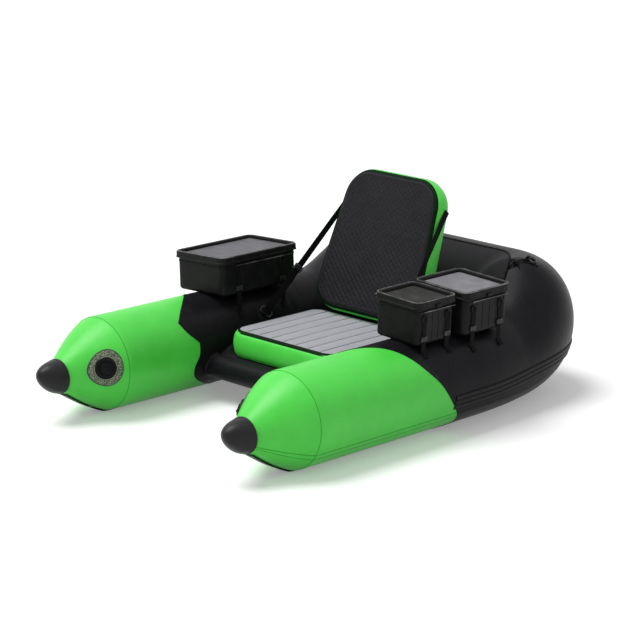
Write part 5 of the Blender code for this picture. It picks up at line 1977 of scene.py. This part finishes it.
@dataclass(frozen=True)
class StrapRing:
    """Welded wire ring in a sleeve on a patch of the hull."""

    maker: PieceMaker
    hull: HullShape
    side: Side
    wire: float = 0.0024
    width: float = 0.044
    reach: float = 0.022
    corner: float = 0.007
    stand: float = 0.0055
    patch: float = 0.046
    patch_thickness: float = 0.0015
    sleeve: float = 0.016
    sleeve_wall: float = 0.0019
    wire_finish: str = "black_wire"

    def line(self) -> list[Vector]:
        """Middle line of the wire, its base bar's middle at the origin."""
        outline = rounded_outline(self.width / 2, self.reach / 2, self.corner, 8, 0.008)
        return [Vector((x, y + self.reach / 2, 0)) for x, y in outline]

    def build(self, name: str, frame: Matrix, run: float, angle: float) -> None:
        """Build the ring and its patch.

        Args:
            name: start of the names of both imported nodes.
            frame: the ring's frame on its side: base bar along X, wire in the XY plane.
            run: run of the patch's middle.
            angle: its angle round the hull.
        """
        rows = placed(swept(self.line(), self.wire, 10, cyclic=True), frame)
        self.maker.from_rows(f"{name}_wire", rows, self.wire_finish, nodes=[name], wrap=True)
        half = self.patch / 2
        turn = half / self.hull.section(run).half_width
        sheet = []
        for place in spaced(run - half, run + half, 14):
            spots = [(spot, self.hull.point(place, spot))
                for spot in spaced(angle - turn, angle + turn, 14)]
            sheet.append([self.hull.point(place, spot, 0.0008 + 0.0004 * lumps(base, 0.02))
                for spot, base in spots])
        patch = f"{name}_patch" if name.endswith("apron_ring") else name.replace("strap_ring", "ring_patch")
        self.maker.from_rows(f"{name}_pad", sheet, "weld_fabric", closed=False, nodes=[patch],
            side=self.side, thickness=self.patch_thickness)
        start = Vector((-self.sleeve / 2, 0, 0))
        tube = bar(self.wire + self.sleeve_wall, start, -start, 20)
        self.maker.from_cage(f"{name}_sleeve", tube, "weld_fabric", matrix=frame, bevel=0.0008)


def ladder_lock(width: float, length: float, height: float, rail: float) -> Cage:
    """Ladder-lock: two side rails and three bars, in its own frame.

    Args:
        width: across the webbing.
        length: along the webbing.
        height: its thickness.
        rail: width of a rail and of a bar.

    Returns:
        The buckle's cage.
    """
    cages = [block((rail, length, height), (sign * (width - rail) / 2, 0, 0)) for sign in (-1, 1)]
    for share, lift in ((-1, 0.0), (0.0, 0.15), (1, 0.35)):
        cages.append(block((width - rail, rail * 1.1, height * 0.55),
            (0, share * (length - rail) / 2, height * lift)))
    return joined(cages)


@dataclass(frozen=True)
class BackStrap:
    """Webbing from a ring on the pontoon to the side of the backrest, drawn up by a ladder-lock."""

    maker: PieceMaker
    hull: HullShape
    back: BackrestUnit
    side: Side
    width: float = 0.024
    thickness: float = 0.002
    rise: float = 0.364
    end: float = 0.034
    run: float = 0.030
    angle: float = radians(150.0)
    lock_share: float = 0.34
    lock_sizes: tuple[float, ...] = (0.034, 0.022, 0.008, 0.0048)
    clearance: float = 0.0003

    def build(self) -> None:
        """Build the ring, the webbing, its lock and its loose tail."""
        side, name = self.side, self.side.label
        wire = "steel_wire" if side is Side.PORT else "black_wire"
        ring = StrapRing(self.maker, self.hull, side, wire_finish=wire)
        back = self.back
        wall = back.half_x + back.bulge + back.slope * (back.height - self.rise)
        facing = (X_AXIS + back.up * back.slope).normalized()
        top = Vector(back.foot) + back.up * self.rise - back.ahead * (back.front + back.thickness / 2)
        top += Vector((wall, 0, 0)) + facing * (self.clearance + self.thickness / 2)
        surface = self.hull.frame(self.run, self.angle)
        normal = surface.col[2].to_3d()
        base = surface.translation + normal * ring.stand
        pull = (top - base).normalized()
        bar_way = normal.cross(pull).normalized()
        base, top, pull, bar_way, facing = (side.turn(item) for item in (base, top, pull, bar_way, facing))
        flat = bar_way.cross(pull)
        frame = frame_at(base, bar_way, flat)
        if frame.col[1].to_3d().dot(pull) < 0:
            frame = frame @ Matrix.Rotation(pi, 4, "X")
        ring.build(f"{name}_strap_ring", frame, self.run, self.angle)

        out = frame.col[2].to_3d() * (-1 if frame.col[2].x * side.value > 0 else 1)
        bend = ring.wire + 0.0006 + self.thickness / 2
        far_bar = base + pull * ring.reach
        top_width = pull.cross(facing).normalized()
        if top_width.dot(bar_way) < 0:
            top_width = -top_width
        along = top_width.cross(facing).normalized()
        if along.dot(pull) < 0:
            along = -along
        points = [far_bar + pull * self.width * step - out * (bend + self.clearance)
            for step in (2.1, 1.4, 0.7)]
        for turn in spaced(0.0, pi, 9):
            points.append(far_bar - pull * bend * sin(turn) - out * bend * cos(turn))
        start = far_bar + out * bend + pull * self.width
        widths = [bar_way * self.width] * len(points)
        for share in spaced(0.0, 1.0, 46):
            points.append(start.lerp(top, share))
            widths.append(bar_way.lerp(top_width, share).normalized() * self.width)
        for step in (0.25, 0.5, 0.75, 1.0):
            points.append(top + along * self.end * step)
            widths.append(top_width * self.width)
        strap = self.maker.from_rows(f"{name}_back_webbing", ribbon_rows(points, widths, self.thickness),
            "webbing_cloth", nodes=[f"{name}_back_strap"], caps=(True, True), ride=False)
        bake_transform(strap)

        centre = start.lerp(top, self.lock_share)
        line = (top - start).normalized()
        across = bar_way.lerp(top_width, self.lock_share)
        lock_frame = frame_at(centre, across, line.cross(across))
        self.maker.from_cage(f"{name}_strap_lock", ladder_lock(*self.lock_sizes), "lock_plastic",
            nodes=[f"{name}_strap_buckle"], matrix=lock_frame, bevel=0.0009)
        face = lock_frame.col[2].to_3d()
        if face.x * side.value < 0:
            face = -face
        across = across.normalized()
        tail = smooth_line([centre + face * 0.0045 + line * 0.010, centre + face * 0.007 - line * 0.004,
            centre + face * 0.009 - line * 0.022 - Vector((0, 0, 0.004)), centre + face * 0.006
            - line * 0.046 - Vector((0, 0, 0.012))], 6)
        rows = ribbon_rows(tail, [across * self.width] * len(tail), self.thickness)
        self.maker.from_rows(f"{name}_strap_tail", rows, "webbing_cloth", caps=(True, True))


@dataclass(frozen=True)
class QuarterLacing:
    """Ring on the quarter and the lacing that ties the apron's corner to it."""

    maker: PieceMaker
    hull: HullShape
    side: Side
    share: float = 0.84
    angle: float = radians(75.0)
    cord: float = 0.0023
    loop: float = 0.006
    knot_radius: float = 0.0066
    knot_length: float = 0.016
    wraps: int = 3

    def build(self) -> None:
        """Build the ring, the two strands and their knot."""
        side, name = self.side, self.side.label
        ring = StrapRing(self.maker, self.hull, side)
        run = self.hull.corner_run(self.share)
        surface = self.hull.frame(run, self.angle)
        normal = surface.col[2].to_3d()
        corner = self.hull.point(self.hull.corner_run(0.65) + ring.patch, radians(99.0), 0.0069)
        base = surface.translation + normal * ring.stand
        pull = corner - base
        pull = (pull - normal * pull.dot(normal)).normalized()
        bar_way = normal.cross(pull).normalized()
        frame = frame_at(side.turn(base), side.turn(bar_way), side.turn(normal))
        if frame.col[1].to_3d().dot(side.turn(pull)) < 0:
            frame = frame @ Matrix.Rotation(pi, 4, "Z")
        ring.build(f"{name}_apron_ring", frame, run, self.angle)

        far_bar = base + pull * (ring.reach + 0.0008)
        strands = []
        for phase in (0.0, pi):
            line = []
            for step in spaced(0.0, 1.0, 22):
                spread = 0.0036 * sin(step * pi) + 0.0024
                twist = phase + step * 5.0
                line.append(far_bar.lerp(corner, step) + bar_way * spread * cos(twist)
                    + normal * (spread * sin(twist) + 0.0012))
            strands.append(line)
        loop = [far_bar + bar_way * self.loop * cos(turn) - pull * self.loop * cos(turn)
            + normal * 0.0052 * sin(turn) for turn in round_turns(20)]
        knot_centre = far_bar.lerp(corner, 0.62) + normal * 0.002
        wraps = []
        for step in range(40):
            turn = FULL_TURN * self.wraps * step / 39
            wraps.append(knot_centre + pull * (step / 39 - 0.5) * self.knot_length
                + (bar_way * cos(turn) + normal * sin(turn)) * self.knot_radius)
        ends = [smooth_line([knot_centre, knot_centre + bar_way * 0.014 + normal * 0.006, knot_centre
            + bar_way * 0.026 - normal * 0.0005]),
            smooth_line([knot_centre, knot_centre - bar_way * 0.012 + normal * 0.007, knot_centre
            - bar_way * 0.022 + pull * 0.008])]
        for label, line, wrap in (("strand_one", strands[0], False), ("strand_two", strands[1], False),
                ("ring_loop", loop, True), ("knot", wraps, False), ("end_one", ends[0], False),
                ("end_two", ends[1], False)):
            rows = swept([side.turn(point) for point in line], self.cord, 8, cyclic=wrap)
            nodes = [f"{name}_apron_lacing"] if label == "strand_one" else []
            self.maker.from_rows(f"{name}_lacing_{label}", rows, "webbing_cloth", nodes=nodes,
                caps=(not wrap, not wrap), wrap=wrap)


# Boxes


@dataclass(frozen=True)
class StrappedBox:
    """Lidded box on a pontoon: moulded body, hinged lid with a recessed panel, lugs, webbing and locks; the
    panel is paler on the aft and starboard boxes as a painted sheen.
    """

    maker: PieceMaker
    hull: HullShape
    name: str
    side: Side
    y: float
    width: float
    length: float
    height: float
    panel_finish: str
    ribs: int = 0
    lean: float = radians(2.7)
    inboard: float = 0.0075
    gap: float = 0.0003
    inset: float = 0.010
    corner: float = 0.030
    foot_round: float = 0.012
    rim_inset: float = 0.007
    rim_lip: float = 0.004
    wall: float = 0.003
    lid_wall: float = 0.0025
    skirt: float = 0.022
    rim: float = 0.016
    recess: float = 0.012
    flare: float = 0.0015
    standoff: float = 0.0065
    knuckle: float = 0.006
    hold_width: float = 0.020
    hold_thickness: float = 0.002
    lug_top: float = 0.100
    lug_height: float = 0.022
    hold_share: float = 0.28
    hinge_share: float = 0.30
    rib_share: float = 0.36
    lock_sizes: tuple[float, ...] = (0.026, 0.015, 0.0055, 0.0036)
    bead: float = 0.0019

    @property
    def lid_body(self) -> str:
        """Body of the lid."""
        return self.name.removesuffix("box") + "lid"

    @cached_property
    def frame(self) -> Matrix:
        """Frame of the box: its foot's middle on the tube, leaning outboard.

        Returns:
            The frame.
        """
        sign = self.side.value
        normal = Vector((sin(self.lean) * sign, 0, cos(self.lean)))
        along = Vector((cos(self.lean), 0, -sin(self.lean) * sign))
        seat = Vector((self.hull.axis_x * sign, self.y, self.hull.height))
        seat += normal * (self.hull.tube_radius + self.gap) - along * self.inboard * sign
        return frame_at(seat, along, normal)

    def ring(self, inset: float, z: float) -> list[Vector]:
        """Rounded ring at an inset from the lid's outline.

        Args:
            inset: the inset.
            z: height above the foot.

        Returns:
            The ring.
        """
        outline = rounded_outline(self.width / 2 - inset, self.length / 2 - inset,
            max(self.corner - inset, self.wall + self.gap), 10,
            counts=(10, round(10 * self.length / self.width)))
        return [Vector((x, y, z)) for x, y in outline]

    def build_body(self) -> None:
        """Open body with a rounded foot, a ridge under the lid that is pale as a painted highlight, and a
        rolled rim.
        """
        neck = self.height - self.skirt - self.rim_lip
        foot = [(self.inset + self.foot_round * (1 - sin(turn)), self.foot_round * (1 - cos(turn)))
            for turn in spaced(0.0, pi / 2, 7)]
        steps = foot + [(self.inset, neck * 0.45), (self.inset, neck - 0.012),
            (self.inset - 0.0016, neck - 0.0105), (self.inset - 0.0016, neck - 0.0065),
            (self.inset, neck - 0.005), (self.inset, neck - 0.001), (self.rim_inset, neck + self.rim_lip),
            (self.rim_inset, self.height - 0.006), (self.rim_inset + 0.0008, self.height - 0.0036)]
        rows = placed([self.ring(inset, z) for inset, z in steps], self.frame)
        self.maker.from_rows(f"{self.name}_shell", rows, "box_plastic", nodes=[f"{self.name}_body"],
            caps=(True, False), thickness=-self.wall)
        # Ridge under the lid, in pale plastic as a painted highlight along it.
        ledge = block((0.0030, self.length * 0.74, 0.0036),
            (self.width / 2 - self.inset + 0.0042, self.length * 0.06, neck - 0.0080))
        self.maker.from_cage(f"{self.name}_ledge", ledge, "rim_plastic", matrix=self.frame, bevel=0.0008)
        if self.ribs:
            bars = []
            top = neck - 0.016
            for place in spaced(-self.length * self.rib_share, self.length * self.rib_share, self.ribs):
                bars.append(block((0.0022, 0.0042, top - 0.014),
                    (self.width / 2 - self.inset, place, (top + 0.014) / 2)))
            self.maker.from_cage(f"{self.name}_ribs", joined(bars), "box_plastic", matrix=self.frame,
                bevel=0.0007)

    def build_lid(self) -> None:
        """Lid with a skirt, a raised rim with a pale bead painted as its highlight, and a recessed panel."""
        base, top = self.height - self.skirt, self.height
        skirt = [(0.0002, base), (0.0, base + 0.0008), (0.0, base + 0.003), (self.flare, base + 0.0045),
            (self.flare, top - 0.0065)]
        crown = [(self.flare + 0.0045 * (1 - cos(turn)), top - 0.0045 + 0.0045 * sin(turn))
            for turn in spaced(0.0, pi / 2, 6)]
        rim = [(self.rim - 0.0016, top), (self.rim - 0.0004, top - 0.0005),
            (self.rim + 0.0003, top - 0.0018)]
        rows = [self.ring(inset, z) for inset, z in skirt + crown + rim
            + [(self.rim + self.flare, top - self.recess)]]
        self.maker.from_rows(f"{self.name}_cover", placed(rows, self.frame), "box_plastic",
            body=self.lid_body, nodes=[f"{self.name}_lid"], caps=(False, True), thickness=-self.lid_wall)
        # Bead along the rim's crown, in pale plastic as a painted highlight.
        bead = swept(self.ring(0.0056, top - 0.0008), self.bead, 8, cyclic=True)
        self.maker.from_rows(f"{self.name}_rim", placed(bead, self.frame), "rim_plastic",
            body=self.lid_body, wrap=True)
        floor = top - self.recess
        panel = [(self.rim + 0.0022, floor + 0.0002), (self.rim + 0.0034, floor + 0.0022),
            (self.rim + 0.0050, floor + 0.0028), (self.rim + 0.0160, floor + 0.0028),
            (self.rim + 0.0168, floor + 0.0022), (self.rim + 0.0190, floor + 0.0022)]
        rows = placed([self.ring(inset, z) for inset, z in panel], self.frame)
        # The panel's paler colour on the aft and starboard boxes is painted sheen.
        self.maker.from_rows(f"{self.name}_panel", rows, self.panel_finish, body=self.lid_body,
            caps=(False, True))
        tab = block((0.0065, 0.024, 0.011), (self.width / 2 + 0.0008, 0, base + 0.003))
        self.maker.from_cage(f"{self.name}_latch", tab, "box_plastic", body=self.lid_body,
            matrix=self.frame, bevel=0.0012)
        # Flat dark patches flush with the skirt stand for the notches: painted shade of their recesses.
        notch_shades = [block((0.003, 0.010, 0.0030),
            (self.width / 2, sign * (self.length / 2 - 0.048), base + 0.010)) for sign in (-1, 1)]
        self.maker.from_cage(f"{self.name}_notches", joined(notch_shades), "dark_panel_plastic",
            body=self.lid_body, matrix=self.frame, bevel=0.0006)

    def build_hinge(self) -> None:
        """Knuckles of the body and of the lid about the pin."""
        x = -self.width / 2 - self.standoff
        z = self.height - self.skirt + self.knuckle
        reach = self.hinge_share * self.length
        for piece, rider, shift in (("body_knuckles", HULL_BODY, 0.5),
                ("lid_knuckles", self.lid_body, -0.56)):
            cages = []
            for sign in (-1, 1):
                middle = sign * (reach + 0.012 * shift)
                cages.append(bar(self.knuckle, Vector((x, middle - 0.006, z)),
                    Vector((x, middle + 0.006, z)), 28))
                drop = 0.011 if rider == HULL_BODY else 0.0
                web_x = 0.0165 if rider == HULL_BODY else 0.0085
                cages.append(block((web_x, 0.012, 0.010), (x + web_x / 2, middle, z - drop)))
                if rider == HULL_BODY:
                    cages.append(block((0.006, 0.012, 0.012),
                        (x + 0.003 - self.knuckle, middle, z - 0.006)))
            self.maker.from_cage(f"{self.name}_{piece}", joined(cages), "box_plastic", body=rider,
                matrix=self.frame)
        self.maker.dress_node(f"{self.name}_hinge_pin", "steel_wire")

    def build_hold_downs(self) -> None:
        """Arched lugs on the port-facing wall, and the webbing with its locks from each down to the tube."""
        wall_x = self.width / 2 - self.inset
        axis_x, axis_z = self.inboard * self.side.value, -(self.hull.tube_radius + self.gap)
        radius = self.hull.tube_radius + 0.0008 + self.hold_thickness / 2
        strap_x = wall_x + 0.0006 + self.hold_thickness / 2
        first = acos((strap_x - axis_x) / radius)
        foot = [(axis_x + radius * cos(first - radians(step)), axis_z + radius * sin(first - radians(step)))
            for step in range(0, 10)]
        for end, sign in (("fore", -1), ("aft", 1)):
            along = sign * self.hold_share * self.length
            low = self.lug_top - self.lug_height
            arch = [Vector((wall_x + 0.0022, along + 0.0105, low)),
                Vector((wall_x + 0.0026, along + 0.0105, low + 0.008)),
                Vector((wall_x + 0.0030, along + 0.0085, low + 0.016)),
                Vector((wall_x + 0.0032, along, low + 0.0205)),
                Vector((wall_x + 0.0030, along - 0.0085, low + 0.016)),
                Vector((wall_x + 0.0026, along - 0.0105, low + 0.008)),
                Vector((wall_x + 0.0022, along - 0.0105, low))]
            rows = placed(swept(smooth_line(arch, 5), 0.0026, 10), self.frame)
            self.maker.from_rows(f"{self.name}_{end}_lug", rows, "box_plastic", caps=(True, True))
            line = [(strap_x, low + 0.014), (strap_x, low), (strap_x + 0.0004, low * 0.6), (strap_x, 0.012),
                (strap_x, 0.001)]
            points = smooth_line([Vector((x, along, z)) for x, z in line + foot[1:]], 4)
            widths = [Vector((0, self.hold_width, 0))] * len(points)
            rows = placed(ribbon_rows(points, widths, self.hold_thickness), self.frame)
            self.maker.from_rows(f"{self.name}_{end}_webbing", rows, "webbing_cloth",
                nodes=[f"{self.name}_{end}_strap"], caps=(True, True))
            lock = ladder_lock(*self.lock_sizes)
            turn = Matrix(((0, 0, 1), (1, 0, 0), (0, 1, 0))).to_4x4()
            turn.translation = Vector((strap_x + 0.0016, along, 0.022))
            self.maker.from_cage(f"{self.name}_{end}_lock", lock, "lock_plastic", matrix=self.frame @ turn,
                bevel=0.0007)

    def build(self) -> None:
        """Build the box's pieces."""
        self.build_body()
        self.build_lid()
        self.build_hinge()
        self.build_hold_downs()


# Studio


@dataclass(frozen=True)
class Studio:
    """Pale floor, soft light from above and the camera."""

    azimuth: float = 44.593
    elevation: float = 14.9996
    distance: float = 7.9469
    lens: float = 136.36
    roll: float = radians(0.4273)
    target: tuple[float, float, float] = (0.0888, -0.0891, 0.3187)
    key_strength: float = 2.2
    key_softness: float = radians(35.0)
    key_from: tuple[float, float, float] = (-0.35, -0.25, 1.0)
    sky: float = 0.42
    floor_glow: float = 0.26
    pale: float = 0.92
    bounce: float = 0.66
    floor_half: float = 30.0
    floor_drop: float = 0.0002

    def build_floor(self) -> None:
        """Large pale floor that keeps the object's soft shadow."""
        mesh = bpy.data.meshes.new("studio_floor")
        half = self.floor_half
        mesh.from_pydata([(-half, -half, 0), (half, -half, 0), (half, half, 0), (-half, half, 0)], [],
            [(0, 1, 2, 3)])
        floor = linked("studio_floor", mesh)
        floor.location.z = -self.floor_drop
        recipe = Recipe("studio_floor", (self.pale,) * 3, 0.9)
        path = recipe.add("ShaderNodeLightPath").outputs
        seen = recipe.maths("MAXIMUM", path["Is Camera Ray"], path["Is Glossy Ray"])
        seen = recipe.maths("MAXIMUM", seen, path["Is Transmission Ray"])
        recipe.set(recipe.shader, {"Base Color": recipe.blend(seen, (self.bounce,) * 3, (self.pale,) * 3),
            "Emission Color": (1.0, 1.0, 1.0),
            "Emission Strength": recipe.maths("MULTIPLY", seen, self.floor_glow),
            "Specular IOR Level": 0.0})
        mesh.materials.append(recipe.material)

    def build_light(self) -> None:
        """World and one soft light from high up."""
        world = bpy.data.worlds.new("studio")
        bpy.context.scene.world = world
        world.use_nodes = True
        nodes, links = world.node_tree.nodes, world.node_tree.links
        shader = nodes["Background"]
        path = nodes.new("ShaderNodeLightPath")
        seen = path.outputs["Is Camera Ray"]
        for ray in ("Is Glossy Ray", "Is Transmission Ray"):
            either = nodes.new("ShaderNodeMath")
            either.operation = "MAXIMUM"
            links.new(seen, either.inputs[0])
            links.new(path.outputs[ray], either.inputs[1])
            seen = either.outputs[0]
        mix = nodes.new("ShaderNodeMix")
        mix.inputs[2].default_value = self.sky
        mix.inputs[3].default_value = 1.0
        links.new(seen, mix.inputs[0])
        links.new(mix.outputs[0], shader.inputs["Strength"])
        shader.inputs["Color"].default_value = (1.0, 1.0, 1.0, 1.0)
        light = bpy.data.lights.new("key", "SUN")
        light.energy = self.key_strength
        light.angle = self.key_softness
        lamp = linked("key", light)
        lamp.rotation_mode = "QUATERNION"
        lamp.rotation_quaternion = (-Vector(self.key_from)).to_track_quat("-Z", "Y")

    def build_camera(self) -> None:
        """Camera at the photograph's angle."""
        azimuth, elevation = radians(self.azimuth), radians(self.elevation)
        back = Vector((sin(azimuth) * cos(elevation), -cos(azimuth) * cos(elevation), sin(elevation)))
        camera = bpy.data.cameras.new("camera")
        camera.lens = self.lens
        camera.sensor_width = 36.0
        camera.clip_start, camera.clip_end = 0.05, 100.0
        item = linked("camera", camera)
        item.location = Vector(self.target) + back * self.distance
        item.rotation_mode = "QUATERNION"
        item.rotation_quaternion = (-back).to_track_quat("-Z", "Y") @ Quaternion((0, 0, 1), self.roll)
        bpy.context.scene.camera = item

    def build(self) -> None:
        """Build the studio and set the view."""
        self.build_floor()
        self.build_light()
        self.build_camera()
        bpy.context.scene.view_settings.view_transform = "Standard"


def main() -> None:
    """Build every piece in order, then the studio, and note the sizes."""
    logging.basicConfig(level=logging.INFO, format="%(name)s: %(message)s")
    noise.seed_set(7)
    maker = PieceMaker(Finishes())
    hull = HullShape()
    border = Border()
    pontoons = [Pontoon(maker, hull, border, side) for side in Side]
    for pontoon in pontoons:
        pontoon.build()
    SternTube(maker, hull, pontoons[0]).build()
    for side in Side:
        InflationValve(maker, hull, side).build()
    Deck(maker, hull).build()
    SeatUnit(maker).build()
    back = BackrestUnit(maker)
    back.build()
    for side in Side:
        BackStrap(maker, hull, back, side).build()
        QuarterLacing(maker, hull, side).build()
    StrappedBox(maker, hull, "starboard_box", Side.STARBOARD, 0.038, 0.252, 0.367, 0.135,
        "panel_plastic").build()
    StrappedBox(maker, hull, "port_fore_box", Side.PORT, -0.0155, 0.200, 0.195, 0.145, "dark_panel_plastic",
        6).build()
    StrappedBox(maker, hull, "port_aft_box", Side.PORT, 0.208, 0.236, 0.232, 0.145, "pale_panel_plastic",
        6).build()
    Studio().build()
    LOG.info("done")


if __name__ == "__main__":
    main()
